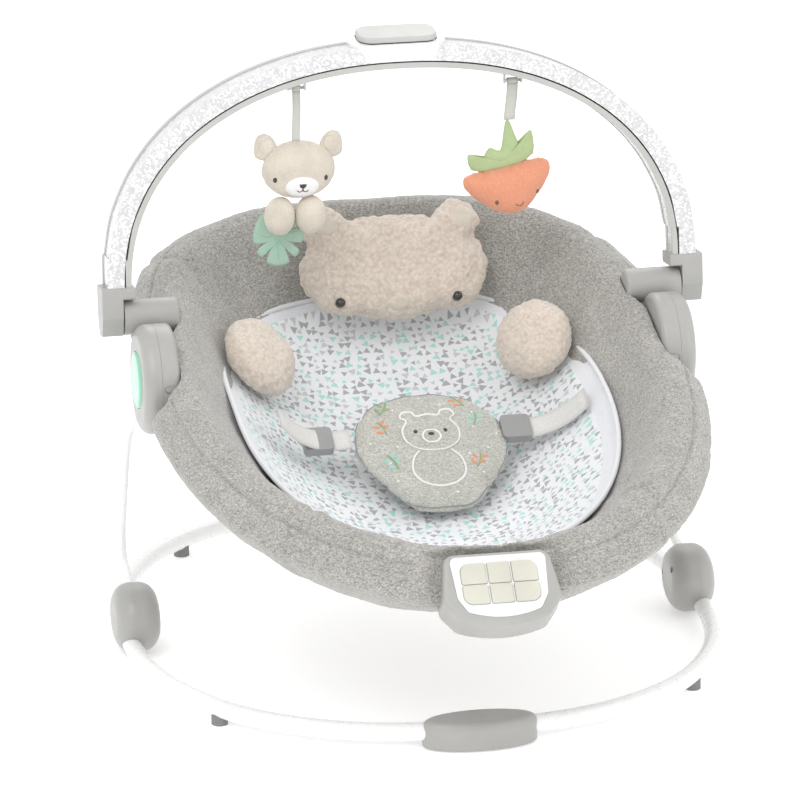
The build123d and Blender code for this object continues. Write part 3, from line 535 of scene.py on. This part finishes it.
def glitter(name, base, bright, fleck_size, cover, roughness, alpha=1.0):
    """Frosted plastic with bright flakes in it."""
    look = Look(name, roughness, Coat_Weight=0.4, Coat_Roughness=0.1)
    look.shader.inputs["Alpha"].default_value = alpha
    flakes = look.cells(fleck_size, "Color")
    spread = look.node("ShaderNodeSeparateColor")
    look.link(flakes, spread.inputs["Color"])
    share = spread.outputs["Red"]
    colour = look.ramp(share, [(0.0, base), (1 - cover, shade(base, 0.93)), (1 - cover / 2, bright)])
    cloud = look.ramp(look.noise(14, 4), [(0.3, 0.93), (0.7, 1.05)])
    dots = look.ramp(look.cells(fleck_size * 3.2), [(0.0, 1.12), (0.16, 1.0)])
    colour = look.mix(1.0, colour, cloud, "MULTIPLY")
    colour = look.mix(1.0, colour, dots, "MULTIPLY")
    rough = look.ramp(share, [(0.3, roughness), (1.0, 0.12)])
    return look.finish(colour, look.bump(share, 0.35, 0.2), rough)


def printed(name):
    """White liner cloth with scattered small triangles."""
    look = Look(name, 0.85, Sheen_Weight=0.25, Sheen_Roughness=0.5)
    look.shader.inputs["Specular IOR Level"].default_value = 0.2
    uv = look.node("ShaderNodeUVMap", uv_map="print").outputs["UV"]
    place = look.cells(11.5, "Position", vector=uv, dimensions="2D", random=0.6)
    tone = look.cells(11.5, "Color", vector=uv, dimensions="2D", random=0.6)
    local = look.node("ShaderNodeVectorMath", operation="SUBTRACT")
    look.link(uv, local.inputs[0])
    look.link(place, local.inputs[1])
    parts = look.node("ShaderNodeSeparateColor")
    look.link(tone, parts.inputs["Color"])
    turned = look.node("ShaderNodeVectorRotate", rotation_type="Z_AXIS")
    look.link(local.outputs["Vector"], turned.inputs["Vector"])
    look.link(look.math("MULTIPLY", parts.outputs["Red"], 6.28), turned.inputs["Angle"])
    farthest = None
    for way in ((0.0, -1.0, 0.0), (0.87, 0.5, 0.0), (-0.87, 0.5, 0.0)):
        dot = look.node("ShaderNodeVectorMath", operation="DOT_PRODUCT")
        look.link(turned.outputs["Vector"], dot.inputs[0])
        dot.inputs[1].default_value = way
        value = dot.outputs["Value"]
        farthest = value if farthest is None else look.math("MAXIMUM", farthest, value)
    size = look.math("MULTIPLY", look.math("ADD", parts.outputs["Green"], 1.1), 0.0017)
    mask = look.math("LESS_THAN", farthest, size)
    ink = look.ramp(parts.outputs["Blue"], [(0.0, (0.42, 0.43, 0.44)), (0.45, (0.6, 0.61, 0.62)),
                                            (0.72, (0.45, 0.72, 0.66))], True)
    weave = look.noise(0.8, 3)
    ground = look.ramp(weave, [(0.35, (0.78, 0.79, 0.82)), (0.65, (0.88, 0.89, 0.91))])
    colour = look.mix(mask, ground, ink)
    return look.finish(colour, look.bump(weave, 0.35, 0.4))


def thread_look(name, colour):
    look = Look(name, 0.6, Sheen_Weight=0.3, Sheen_Roughness=0.4)
    strands = look.noise(0.5, 2, 0.5, (1.0, 1.0, 3.0))
    tint = look.ramp(strands, [(0.35, shade(colour, 0.8)), (0.65, shade(colour, 1.1))])
    return look.finish(tint, look.bump(strands, 0.6, 0.3))


def polished(name, colour):
    look = Look(name, 0.16, Coat_Weight=0.6, Coat_Roughness=0.05)
    tint = look.ramp(look.noise(2.0, 3), [(0.3, shade(colour, 0.8)), (0.7, shade(colour, 1.15))])
    rough = look.ramp(look.noise(3, 3), [(0.3, 0.12), (0.7, 0.24)])
    return look.finish(tint, look.bump(look.noise(1.2, 2), 0.04, 0.1), rough)


def bare_metal(name, colour):
    look = Look(name, 0.32, Metallic=1.0)
    streaks = look.noise(1.2, 3, 0.6, (0.15, 1.0, 1.0))
    tint = look.ramp(streaks, [(0.3, shade(colour, 0.85)), (0.7, shade(colour, 1.05))])
    return look.finish(tint, look.bump(streaks, 0.15, 0.1), look.ramp(streaks, [(0.3, 0.25), (0.7, 0.42)]))


GREY = (0.41, 0.405, 0.39)
steel_white = powder_coat("steel_white", (0.93, 0.93, 0.93))
grey_plastic = moulded("grey_plastic", GREY, 0.38, 0.12)
rail_plastic = moulded("rail_plastic", (0.50, 0.50, 0.48), 0.36, 0.2)
pearl = glitter("pearl", (0.50, 0.50, 0.50), (0.86, 0.86, 0.86), 1.6, 0.35, 0.3)
frosted = glitter("frosted", (0.64, 0.64, 0.65), (0.86, 0.86, 0.86), 1.9, 0.5, 0.32)
white_gloss = moulded("white_gloss", (0.84, 0.84, 0.83), 0.2, 0.5, 0.08, 0.9)
mint_gloss = moulded("mint_gloss", (0.29, 0.67, 0.46), 0.25, 0.4, 0.15)
key_satin = moulded("key_satin", (0.64, 0.63, 0.54), 0.4, 0.15, 0.2)
buckle_grey = moulded("buckle_grey", (0.32, 0.32, 0.32), 0.35, 0.2)
rubber = moulded("rubber", (0.22, 0.22, 0.22), 0.75, 0.0, 0.6)
steel = bare_metal("steel", (0.62, 0.62, 0.62))
board = moulded("board", (0.03, 0.16, 0.07), 0.35, 0.4)
plush = pile("plush", (0.24, 0.23, 0.212), (0.56, 0.545, 0.512), 0.9, 1.6, 30.0, 0.7, 0.15)
pad_plush = pile("pad_plush", (0.36, 0.355, 0.32), (0.68, 0.68, 0.62), 0.7, 1.3, 20.0, 0.6, 0.16)
sherpa = curly("sherpa", (0.50, 0.415, 0.34), (0.84, 0.75, 0.66))
liner = printed("liner")
white_cloth = woven("white_cloth", (0.82, 0.83, 0.86), 0.5)
webbing = woven("webbing", (0.72, 0.71, 0.69), 1.1, 0.2, 0.1)
velour = pile("velour", (0.60, 0.53, 0.44), (0.78, 0.72, 0.63), 0.3, 0.7, 18.0, 0.45, 0.3, 0.45)
velour_white = pile("velour_white", (0.84, 0.83, 0.82), (0.96, 0.95, 0.94), 0.2, 0.7, 18.0, 0.3, 0.3)
mint_cotton = woven("mint_cotton", (0.42, 0.60, 0.48), 0.5, 0.3, 0.08)
coral_cotton = woven("coral_cotton", (0.81, 0.345, 0.21), 0.5, 0.3, 0.1)
green_felt = felt("green_felt", (0.44, 0.54, 0.29))
ribbon_grey = woven("ribbon_grey", (0.60, 0.60, 0.55), 0.7, 0.3)
thread_white = thread_look("thread_white", (0.88, 0.88, 0.86))
thread_dark = thread_look("thread_dark", (0.06, 0.05, 0.05))
thread_brown = thread_look("thread_brown", (0.20, 0.12, 0.08))
thread_coral = thread_look("thread_coral", (0.75, 0.32, 0.16))
thread_green = thread_look("thread_green", (0.30, 0.42, 0.20))
thread_mint = thread_look("thread_mint", (0.35, 0.66, 0.55))
thread_grey = thread_look("thread_grey", (0.30, 0.30, 0.29))
bead_dark = polished("bead_dark", (0.03, 0.025, 0.02))

by_slot = {
    "steel_white": steel_white, "grey_plastic": grey_plastic, "light_grey_plastic": rail_plastic,
    "pearl_plastic": pearl, "clear_plastic": frosted, "white_plastic": white_gloss,
    "mint_plastic": mint_gloss, "key_plastic": key_satin, "black_plastic": buckle_grey,
    "rubber_grey": rubber, "steel": steel, "board": board,
}
for part in frame["record"]["subparts"]:
    cad = frame["nodes"][part["node"]]
    finish = by_slot.get(part["material_slot"])
    if finish is not None:
        cad.data.materials.clear()
        cad.data.materials.append(finish)
frame["nodes"]["speaker"].data.materials[0] = buckle_grey


# ------------------------------------------------------------------ seat cover
def egg_point(front, back, half, angle, above):
    """A point on the egg-shaped outline of the bowl."""
    widest = front + 0.515 * (back - front)
    squareness = 3.0 if sin(angle) > 0 else 2.1
    x = abs(cos(angle)) ** (2 / squareness) * (half if cos(angle) >= 0 else -half)
    reach = back - widest if sin(angle) > 0 else front - widest
    return x, widest + reach * abs(sin(angle)) ** (2 / squareness), above


def room_limit(x, y, z):
    """How far out the cover may go beside the hubs, the links and the bosses."""
    limit = 1000.0
    for cy, cz, radius, face in ((HUB_Y, HUB_Z, HUB_CLEARANCE, HUB_FACE),
                                 (BOSS_Y, BOSS_Z, BOSS_CLEARANCE, BOSS_FACE)):
        gap = max(0.0, hypot(y - cy, z - cz) - radius)
        limit = min(limit, face + gap * gap * 0.15 + gap * 0.9)
    run = BOSS_Y - HUB_Y
    climb = BOSS_Z - HUB_Z
    share = min(1.0, max(0.0, ((y - HUB_Y) * run + (z - HUB_Z) * climb) / (run * run + climb * climb)))
    gap = max(0.0, hypot(y - HUB_Y - run * share, z - HUB_Z - climb * share) - LINK_CLEARANCE)
    return min(limit, LINK_FACE + gap * gap * 0.2 + gap * 0.9)


def bowl_rings(levels, steps, count):
    """Egg-shaped rings through the levels (above, front, back, half width)."""
    rings = []
    for row in smooth_curve(levels, steps):
        above, front, back, half = row
        ring = []
        for k in range(count):
            # denser towards the tight corners of the egg
            a = 2 * pi * k / count
            a += 0.12 * sin(4 * a)
            ring.append(Vector(egg_point(front, back, half, a, above)))
        rings.append(ring)
    return rings


COVER = [
    (-66, -284, 194, 160), (-50, -294, 200, 168), (-20, -326, 216, 189), (8, -350, 236, 210),
    (24, -364, 249, 223), (31, -377, 261, 236), (27, -392, 275, 250), (15, -405, 290, 264),
    (-2, -417, 303, 275), (-36, -384, 288, 254), (-73, -326, 258, 218), (-109, -254, 208, 170),
    (-134, -174, 148, 118), (-142, -120, 100, 80), (-144, -60, 40, 35),
]
STEPS = 9
SEAM_ROW = 6.45 * STEPS
COUNT = 300
local_rings = bowl_rings(COVER, STEPS, COUNT)


def darts(angle_deg, row):
    """Depth in millimetres of the short shaping seams across the rim."""
    depth = 0.0
    for place in (52.0, 128.0, 232.0, 308.0, 196.0, 344.0):
        across = (angle_deg - place + 180) % 360 - 180
        if 2.6 * STEPS < row < 11.0 * STEPS:
            fade = min(1.0, (row - 2.6 * STEPS) / 6.0, (11.0 * STEPS - row) / 10.0)
            depth += 2.6 * fade * exp(-(across / 0.75) ** 2)
            depth -= 0.9 * fade * exp(-((abs(across) - 2.6) / 1.6) ** 2)
    return depth


cover_rings = []
for row, ring in enumerate(local_rings):
    out_ring = []
    for k, p in enumerate(ring):
        before, after = ring[k - 1], ring[(k + 1) % COUNT]
        inner = local_rings[max(0, row - 1)][k]
        outer = local_rings[min(len(local_rings) - 1, row + 1)][k]
        normal = (after - before).cross(outer - inner)
        normal = normal.normalized() if normal.length > 1e-6 else Vector((0, 0, -1))
        if normal.dot(Vector((p.x, p.y + 90, p.z + 20))) < 0 and row > 5 * STEPS:
            normal = -normal
        elif row <= 5 * STEPS and normal.z < 0:
            normal = -normal
        angle = atan2(p.y + 90, p.x) * 180 / pi % 360
        seam = exp(-((row - SEAM_ROW) / 0.55) ** 2)
        near_seam = exp(-((row - SEAM_ROW) / 4.5) ** 2)
        gather = noise.noise(Vector((angle * 0.42, row * 0.02, 3.0)))
        rolls = noise.noise(Vector((angle / 26.0, row / 17.0, 7.0)))
        creases = noise.noise(Vector((angle / 7.0, row / 22.0, 1.0)))
        high = -3.4 * seam + 1.5 * near_seam * gather + 2.6 * rolls + 1.3 * creases - darts(angle, row)
        edge = exp(-((row - 1.0 * STEPS) / 4.0) ** 2)
        high += 2.0 * edge * noise.noise(Vector((angle * 0.3, 0.0, 9.0)))
        if row > 12.5 * STEPS:
            high *= 0.3
        p = p + normal * high
        world = SEAT.at(p.x, p.y, p.z)
        # gathers beside the control panel
        px = world.x
        rel = world - PANEL.origin
        py, pz = rel.dot(PANEL.up), rel.dot(PANEL.out)
        reach = max(abs(px) / 60.0, abs(py) / 41.0)
        if row > 4.5 * STEPS and reach < 2.4 and world.y < -262:
            ripple = cos(atan2(py * 1.3, px) * 15 + 0.6 * sin(row * 0.5))
            world += SEAT.out * 1.7 * ripple * exp(-((reach - 1.15) / 0.45) ** 2)
            if reach < 1.12 and pz > -16:
                world -= PANEL.out * (pz + 16) * min(1.0, (1.12 - reach) / 0.12)
        limit = room_limit(abs(world.x), world.y, world.z)
        if abs(world.x) > limit:
            world.x = limit if world.x > 0 else -limit
        out_ring.append(world)
    cover_rings.append(out_ring)
cover = rings_mesh("cover_plush", cover_rings, plush, None, False, True)
subdivide(cover)
roughen(cover, lambda p, n: 0.55 * noise.noise(p / 3.2) + 0.45 * noise.noise(p / 9.0))
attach(cover, "seat")
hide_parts("seat_cover")


# ------------------------------------------------------------------ liner
LINER = [(-15, -323, 201, 186), (-23, -317, 196, 181), (-36, -302, 188, 169), (-58, -272, 178, 150),
         (-86, -222, 142, 117), (-105, -160, 98, 78), (-109, -110, 55, 45), (-110, -70, 20, 20)]
LINER_COUNT = 220
liner_local = bowl_rings(LINER, 6, LINER_COUNT)
liner_rings = []
for row, ring in enumerate(liner_local):
    placed = []
    for k, p in enumerate(ring):
        angle = 360.0 * k / LINER_COUNT
        p = p.copy()
        fade = min(1.0, row / 6.0)
        behind = min(1.0, max(0.0, (p.y + 60) / 230))
        p.z -= 31 * behind * behind * (3 - 2 * behind) * max(0.0, 1 - row / 24.0)
        p.z += fade * (2.6 * noise.noise(Vector((p.x / 55, p.y / 55, 2.0))) + 1.2 * noise.noise(p / 17))
        crease = noise.noise(Vector((angle / 9.0, row / 11.0, 5.0)))
        p.z += fade * 1.6 * crease
        placed.append(SEAT.at(p.x, p.y, p.z))
    liner_rings.append(placed)
liner_piece = rings_mesh("liner_cloth", liner_rings, liner, None, False, True)
liner_piece.data.materials.append(white_cloth)
chart = liner_piece.data.uv_layers.new(name="print")
for polygon in liner_piece.data.polygons:
    for loop in polygon.loop_indices:
        at = liner_piece.data.vertices[liner_piece.data.loops[loop].vertex_index].co / MM - SEAT.origin
        across, along, deep = at.x, at.dot(SEAT.up), at.dot(SEAT.out)
        far = 1 + 0.45 * max(0.0, -deep - 60) / 60
        chart.data[loop].uv = (across * MM * (2 - far * 0.6), along * MM * (2 - far * 0.6))
    row = polygon.index // LINER_COUNT
    if row < 11:
        polygon.material_index = 1
subdivide(liner_piece)
roughen(liner_piece, lambda p, n: 0.5 * noise.noise(p / 7.0))
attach(liner_piece, "seat")
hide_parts("seat_liner")
piping_path = []
for k in range(LINER_COUNT):
    piping_path.append(liner_rings[1][k] + SEAT.out * 2.0)
piping = tube_mesh("liner_piping", piping_path, 2.6, white_cloth, "seat", True, 10)


# ------------------------------------------------------------------ headrest and side lobes
head_outline = union_outline([(0, 0, 98, 60), (-52, -4, 50, 50), (52, -4, 50, 50), (-72, 42, 27, 25),
                              (72, 42, 27, 25)], (0, 2))
head_puff = puff("headrest_sherpa", HEAD, head_outline, (0, 2), 25, -2, None, None, rings=18)
inflate(head_puff, 5.0, 3.0, 7.0)
subdivide(head_puff)
head_puff.data.materials.append(sherpa)
roughen(head_puff, curls(5.5, 2.6))
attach(head_puff, "seat")
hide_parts("headrest")
head_tree = surface_of(head_puff)
for side, tag in ((-1, "left"), (1, "right")):
    eye_at = drop(head_tree, HEAD, side * 60, -36, 0.5)
    eye = bead("headrest_eye_" + tag, eye_at, HEAD.out, 5.0, bead_dark, "seat")
    inner_ear = lay_patch("headrest_ear_" + tag, head_tree, HEAD, ellipse(side * 72, 44, 13, 12),
                          velour, "seat", 1.6)
nose_patch = lay_patch("headrest_nose", head_tree, HEAD, ellipse(0, -40, 11, 8), velour, "seat", 1.4)

for side, tag in ((-1, "left"), (1, "right")):
    lobe_flat = Flat(SEAT.at(side * 141, 76, -32), 13.8)
    lobe_flat.out = (lobe_flat.out + Vector((-side * 0.75, -0.25, 0))).normalized()
    lobe_flat.across = lobe_flat.up.cross(lobe_flat.out).normalized()
    lobe_flat.up = lobe_flat.out.cross(lobe_flat.across)
    lobe = puff("side_lobe_" + tag, lobe_flat, ellipse(0, 0, 40, 47, 60), (0, 0), 23, 14, None, None)
    inflate(lobe, 5.0, 3.0, 5.0)
    subdivide(lobe)
    lobe.data.materials.append(sherpa)
    roughen(lobe, curls(5.5, 2.6))
    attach(lobe, "seat")
    if side < 0:
        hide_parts("side_lobes")


# ------------------------------------------------------------------ crotch pad and waist straps
pad_edge = [(-80, 16), (-79, -8), (-66, -36), (-46, -62), (-30, -78), (0, -82), (30, -78), (46, -62),
            (66, -36), (79, -8), (80, 16), (72, 46), (50, 68), (22, 78), (0, 80), (-22, 78), (-50, 68),
            (-72, 46)]
pad_outline = [(p[0], p[1]) for p in smooth_curve(pad_edge, 8, True)]
pad = puff("crotch_pad_plush", PAD, pad_outline, (0, 0), 13, 2, None, None, rings=16, power=5.0, ridge=2.2)
inflate(pad, 4.5, 2.5, 5.0)
subdivide(pad)
pad.data.materials.append(pad_plush)
roughen(pad, lambda p, n: 0.5 * noise.noise(p / 3.0) + 1.2 * noise.noise(p / 21.0))
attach(pad, "seat")
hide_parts("crotch_pad")
pad_tree = surface_of(pad)
inset = [(x * 0.93, y * 0.93) for x, y in pad_outline[::4]]
pad_seam = lay_thread("crotch_pad_topstitch", pad_tree, PAD, inset, 0.8, thread_grey, "seat", True, 4)
bear_lines = [
    [(-26, 2), (-28, 18), (-22, 30), (-27, 36), (-24, 43), (-15, 43), (-11, 37), (0, 39), (11, 37),
     (15, 43), (24, 43), (27, 36), (22, 30), (28, 18), (26, 2), (14, -8), (0, -10), (-14, -8)],
    [(-9, 8), (-6, 15), (0, 17), (6, 15), (9, 8), (5, 2), (0, 1), (-5, 2)],
    [(-16, -10), (-24, -22), (-26, -38), (-18, -50), (0, -55), (18, -50), (26, -38), (24, -22), (16, -10)],
]
for index, line in enumerate(bear_lines):
    closed = index < 2
    outline = lay_thread("pad_bear_%d" % index, pad_tree, PAD, line, 1.25, thread_white, "seat", closed)
for side, tag in ((-1, "left"), (1, "right")):
    spot = lay_patch("pad_bear_eye_" + tag, pad_tree, PAD, ellipse(side * 15, 16, 2.2, 2.8, 16),
                     thread_dark, "seat", 0.8, 3)
spot = lay_patch("pad_bear_nose", pad_tree, PAD, ellipse(0, 12, 3.4, 2.4, 20), thread_dark, "seat", 0.8, 3)


def sprig(tag, x, y, turn, colour, leaves=4):
    """A small embroidered plant: a stem with pairs of leaves."""
    c, s = cos(radians(turn)), sin(radians(turn))

    def place(a, b):
        return x + a * c - b * s, y + a * s + b * c

    stem = lay_thread("pad_stem_" + tag, pad_tree, PAD, [place(0, 0), place(1.5, 9), place(0, 19)], 0.8,
                      thread_green, "seat")
    for n in range(leaves):
        way = 1 if n % 2 else -1
        lx, ly = place(way * 4.2, 5 + n * 4.0)
        leaf = lay_patch("pad_leaf_%s_%d" % (tag, n), pad_tree, PAD,
                         ellipse(lx, ly, 4.4, 1.9, 18, turn + 90 - way * 52), colour, "seat", 0.8, 3)


sprig("a", -44, 16, 18, thread_coral)
sprig("b", 44, 20, -16, thread_mint)
sprig("c", -40, -30, 24, thread_mint)
sprig("d", 38, -34, -20, thread_coral)
sprig("e", -46, 46, -30, thread_green, 3)
sprig("f", 40, 50, 34, thread_coral, 3)
for n in range(26):
    a, r = n * 2.399, 14 + 11.5 * sqrt(n)
    x, y = r * cos(a), r * 0.98 * sin(a) + 4
    if abs(x) < 30 and -56 < y < 46 or hypot(x / 74, y / 72) > 0.93:
        continue
    speck = lay_patch("pad_speck_%d" % n, pad_tree, PAD, ellipse(x, y, 1.5, 1.2, 12, n * 40), thread_white,
                      "seat", 0.6, 2)

for side, tag in ((-1, "left"), (1, "right")):
    path, rows = [], []
    for n in range(13):
        x = 80 + n * 6.2
        path.append((x, 18 + 1.2 * sin(n * 0.5), 9.0 + 0.035 * (x - 96) ** 2 * 0.35))
    for n, (x, y, z) in enumerate(path):
        ring = []
        for a, b in ((-12.5, -0.9), (-12.5, 0.9), (-6, 1.2), (0, 1.25), (6, 1.2), (12.5, 0.9), (12.5, -0.9),
                     (6, -1.0), (0, -1.0), (-6, -1.0)):
            ring.append(PAD.at(side * x, y + a, z + b))
        rows.append(ring)
    strap = rings_mesh("waist_strap_" + tag, rows, webbing, "seat", True, True)
    if side < 0:
        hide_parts("waist_straps")


# ------------------------------------------------------------------ hanging toys
def ribbon_strip(name, top, bottom, width, thick, material, body):
    rows = []
    for n in range(11):
        t = n / 10
        middle = top.lerp(bottom, t) + Vector((0.5 * sin(t * 5), 0.6 * sin(t * 4), 0))
        ring = []
        for a, b in ((-1, -0.7), (-1, 0.7), (-0.5, 1), (0, 1), (0.5, 1), (1, 0.7), (1, -0.7), (0.5, -1),
                     (0, -1), (-0.5, -1)):
            ring.append(middle + Vector((a * width / 2, b * thick / 2, 0)))
        rows.append(ring)
    return rings_mesh(name, rows, material, body, True, True)


def hanger_loop(name, place, width, material, body):
    """The sewn loop that goes round the hanger."""
    rows = []
    for k in range(25):
        a = 2 * pi * k / 24
        c, s = cos(a), sin(a)
        rows.append([place + Vector((x, r * c, r * s)) for x, r in
                     ((-width / 2, 1.75), (width / 2, 1.75), (width / 2, 3.0), (-width / 2, 3.0))])
    return rings_mesh(name, rows, material, body)


# Bear
hook = hang_point(BEAR_X)
bear_top = hook.z - BEAR_HANG


def at_front(x, y, z):
    """An upright plane that faces the front."""
    return Flat((x, y, z), 90)


head_flat = at_front(-99, hook.y, bear_top - 31)
head = puff("bear_head", head_flat, ellipse(0, 0, 38, 30.5, 72), (0, 0), 15.5, 13, None, None)
inflate(head, 4.0, 3.0, 4.0)
subdivide(head)
head.data.materials.append(velour)
roughen(head, lambda p, n: 0.35 * noise.noise(p / 2.2) + 0.5 * noise.noise(p / 14.0))
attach(head, "bear")
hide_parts("bear_plush")
bear_tree = surface_of(head)
for side, tag in ((-1, "left"), (1, "right")):
    ear_edge = smooth_curve([(side * x, y) for x, y in ((-11, -9), (-9, 5), (-1, 13), (8, 12), (12, 3),
                                                        (11, -10), (0, -14))], 6, True)
    ear = puff("bear_ear_" + tag, at_front(-99 + side * 32, hook.y + 1, bear_top - 7),
               [(q[0], q[1]) for q in ear_edge[::side]], (0, 0), 3.4, 4.2, velour, "bear", rings=8)
    lining = puff("bear_ear_lining_" + tag, at_front(-99 + side * 32.5, hook.y - 1.2, bear_top - 6),
                  ellipse(0, 0, 8, 9, 36, side * 20), (0, 0), 2.4, 1.0, velour, "bear", rings=6)
    eye = lay_patch("bear_eye_" + tag, bear_tree, head_flat, ellipse(side * 25.5, -7, 2.1, 3.1, 20),
                    thread_dark, "bear", 0.8, 3)
    paw = puff("bear_paw_" + tag, at_front(-99 - 4 + side * 15.5, hook.y - 1.5, bear_top - 78),
               ellipse(0, 0, 15.6, 20, 44), (0, 0), 12.5, 11, velour, "bear", rings=10, power=2.3)
muzzle = lay_patch("bear_muzzle", bear_tree, head_flat, ellipse(1.5, -15, 17, 11, 44), velour_white,
                   "bear", 2.2, 6)
muzzle_tree = surface_of(muzzle)
nose = lay_patch("bear_nose", muzzle_tree, head_flat,
                 [(-2.5, -11.2), (1.5, -10.8), (5.5, -11.2), (4.6, -14.2), (1.5, -16.6), (-1.6, -14.2)],
                 thread_dark, "bear", 0.8, 3)
for side, tag in ((-1, "left"), (1, "right")):
    mouth = lay_thread("bear_mouth_" + tag, muzzle_tree, head_flat,
                       [(1.5, -15.5), (1.5 + side * 0.8, -18.4), (1.5 + side * 3.6, -19.4),
                        (1.5 + side * 5.6, -17.8)], 0.5, thread_dark, "bear")
strap_end = Vector((BEAR_X, hook.y, bear_top - 4))
bear_strap = ribbon_strip("bear_strap", hook + Vector((0, 0, -2.4)), strap_end, 8, 1.6, ribbon_grey, "bear")
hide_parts("bear_ribbon")
loop = hanger_loop("bear_strap_loop", hook, 8, ribbon_grey, "bear")

leaf_flat = at_front(-117, hook.y + 16, bear_top - 104)
leaf_shape = []
for k in range(140):
    a = 2 * pi * k / 140
    radius = 1.0
    for notch in (200, 232, 305, 338, 20):
        gap = (a * 180 / pi - notch + 180) % 360 - 180
        radius -= 0.52 * exp(-(gap / 5.2) ** 2)
    leaf_shape.append((25.5 * radius * cos(a), 31 * radius * sin(a) - 1))
leaf = puff("bear_leaf_cloth", leaf_flat, leaf_shape, (0, 2), 2.0, 2.0, mint_cotton, "bear", rings=9,
            power=7.0)
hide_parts("bear_leaf")
leaf_tree = surface_of(leaf)
leaf_veins = ([(0, 24), (-1, 0), (0, -24)], [(0, 8), (10, 2), (18, 4)], [(0, 6), (-10, 0), (-18, 2)],
              [(0, -6), (8, -12), (13, -12)], [(0, -6), (-8, -12), (-13, -12)])
for n, line in enumerate(leaf_veins):
    vein = lay_thread("bear_leaf_vein_%d" % n, leaf_tree, leaf_flat, line, 0.45, thread_mint, "bear")

# Strawberry
hook = hang_point(BERRY_X)
berry_top = hook.z - BERRY_HANG
berry_flat = at_front(109.5, hook.y, berry_top)
tip = radians(11.0)
berry_flat.across = Vector((cos(tip), 0, sin(tip)))
berry_flat.up = Vector((-sin(tip), 0, cos(tip)))
berry_edge = [(-42, -1), (-46, -8), (-42, -20), (-30, -34), (-14, -47), (3, -51), (16, -47), (30, -34),
              (42, -20), (46, -8), (42, -1), (22, 1), (0, 1), (-22, 1)]
berry_outline = [(p[0], p[1]) for p in smooth_curve(berry_edge, 8, True)]
berry = puff("berry_body", berry_flat, berry_outline, (0, -22), 16, 15, None, None, rings=14)
inflate(berry, 4.0, 3.0, 3.0)
subdivide(berry)
berry.data.materials.append(coral_cotton)


def gathered(point, normal):
    near = exp(-max(0.0, berry_top - 4 - point.z) / 9.0)
    pleat = noise.noise(Vector((point.x / 3.4, point.y / 9.0, 0.0)))
    return 0.5 * noise.noise(point / 12.0) + (0.4 + 1.8 * near) * pleat


roughen(berry, gathered)
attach(berry, "berry")
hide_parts("berry_plush")
berry_tree = surface_of(berry)
for x, y, tag in ((-17, -31, "left"), (26, -31, "right")):
    eye = lay_patch("berry_eye_" + tag, berry_tree, berry_flat, ellipse(x, y, 2.0, 2.9, 20), thread_brown,
                    "berry", 0.8, 3)
smile_line = [(1.5, -37), (4, -39.4), (7, -39.4), (9.5, -36.6)]
smile = lay_thread("berry_smile", berry_tree, berry_flat, smile_line, 0.65, thread_brown, "berry")
crown_edge = [(-36, -3), (-37.5, 10), (-37, 22), (-33, 21), (-24, 11), (-22, 10.5), (-19, 17), (-13, 24.5),
              (-8, 21), (-2, 15), (2, 24), (7, 42), (10.5, 50), (13.5, 47), (15, 38), (19, 16), (21, 15),
              (26, 25), (33, 33), (35, 29), (34, 14), (32, -3)]
crown = puff("berry_crown_felt", berry_flat, crown_edge, (-1, 7), 3.6, 3.6, green_felt, "berry", rings=8,
             power=4.0)
subdivide(crown, 1)
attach(crown, "berry")
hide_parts("berry_crown")
berry_strap = ribbon_strip("berry_strap", hook + Vector((0, 0, -2.4)), berry_flat.at(13.5, 46), 11, 1.8,
                           ribbon_grey, "berry")
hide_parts("berry_ribbon")
loop = hanger_loop("berry_strap_loop", hook, 11, ribbon_grey, "berry")


# ------------------------------------------------------------------ stage, light, camera
floor_look = Look("studio_floor", 0.8)
grain = floor_look.noise(400, 2)
floor_look.shader.inputs["Emission Color"].default_value = (1.0, 1.0, 1.0, 1.0)
floor_look.shader.inputs["Emission Strength"].default_value = 0.32
floor_look.finish(floor_look.ramp(grain, [(0.3, (0.9, 0.9, 0.9)), (0.7, (0.92, 0.92, 0.92))]))
bpy.ops.mesh.primitive_plane_add(size=30, location=(0, 0, 0))
floor = bpy.context.object
floor.name = "studio_floor"
floor.data.materials.append(floor_look.material)

world = bpy.data.worlds.new("studio")
bpy.context.scene.world = world
world.use_nodes = True
world.node_tree.nodes["Background"].inputs["Color"].default_value = (1.0, 1.0, 1.0, 1.0)
world.node_tree.nodes["Background"].inputs["Strength"].default_value = 0.95
bpy.context.scene.view_settings.view_transform = "Standard"


def area_light(name, place, target, size, power):
    data = bpy.data.lights.new(name, "AREA")
    data.size = size
    data.energy = power
    lamp = bpy.data.objects.new(name, data)
    bpy.context.scene.collection.objects.link(lamp)
    lamp.location = place
    lamp.rotation_euler = (Vector(target) - Vector(place)).to_track_quat("-Z", "Y").to_euler()


area_light("key", (-1.2, -1.6, 2.6), (0, 0, 0.25), 1.6, 26)
area_light("fill", (2.0, -1.4, 1.6), (0, 0, 0.25), 2.0, 10)
area_light("back", (0.3, 2.2, 2.2), (0, 0, 0.3), 1.8, 14)

camera_data = bpy.data.cameras.new("camera")
camera = bpy.data.objects.new("camera", camera_data)
bpy.context.scene.collection.objects.link(camera)
bpy.context.scene.camera = camera
target = Vector((-0.017, 0.036, 0.248))
turn, rise = radians(-11.5), radians(18.8)
camera.location = target + Vector((sin(turn) * cos(rise), -cos(turn) * cos(rise), sin(rise))) * 6.0
camera.rotation_euler = (target - camera.location).to_track_quat("-Z", "Y").to_euler()
camera_data.lens = 274
camera_data.clip_end = 60
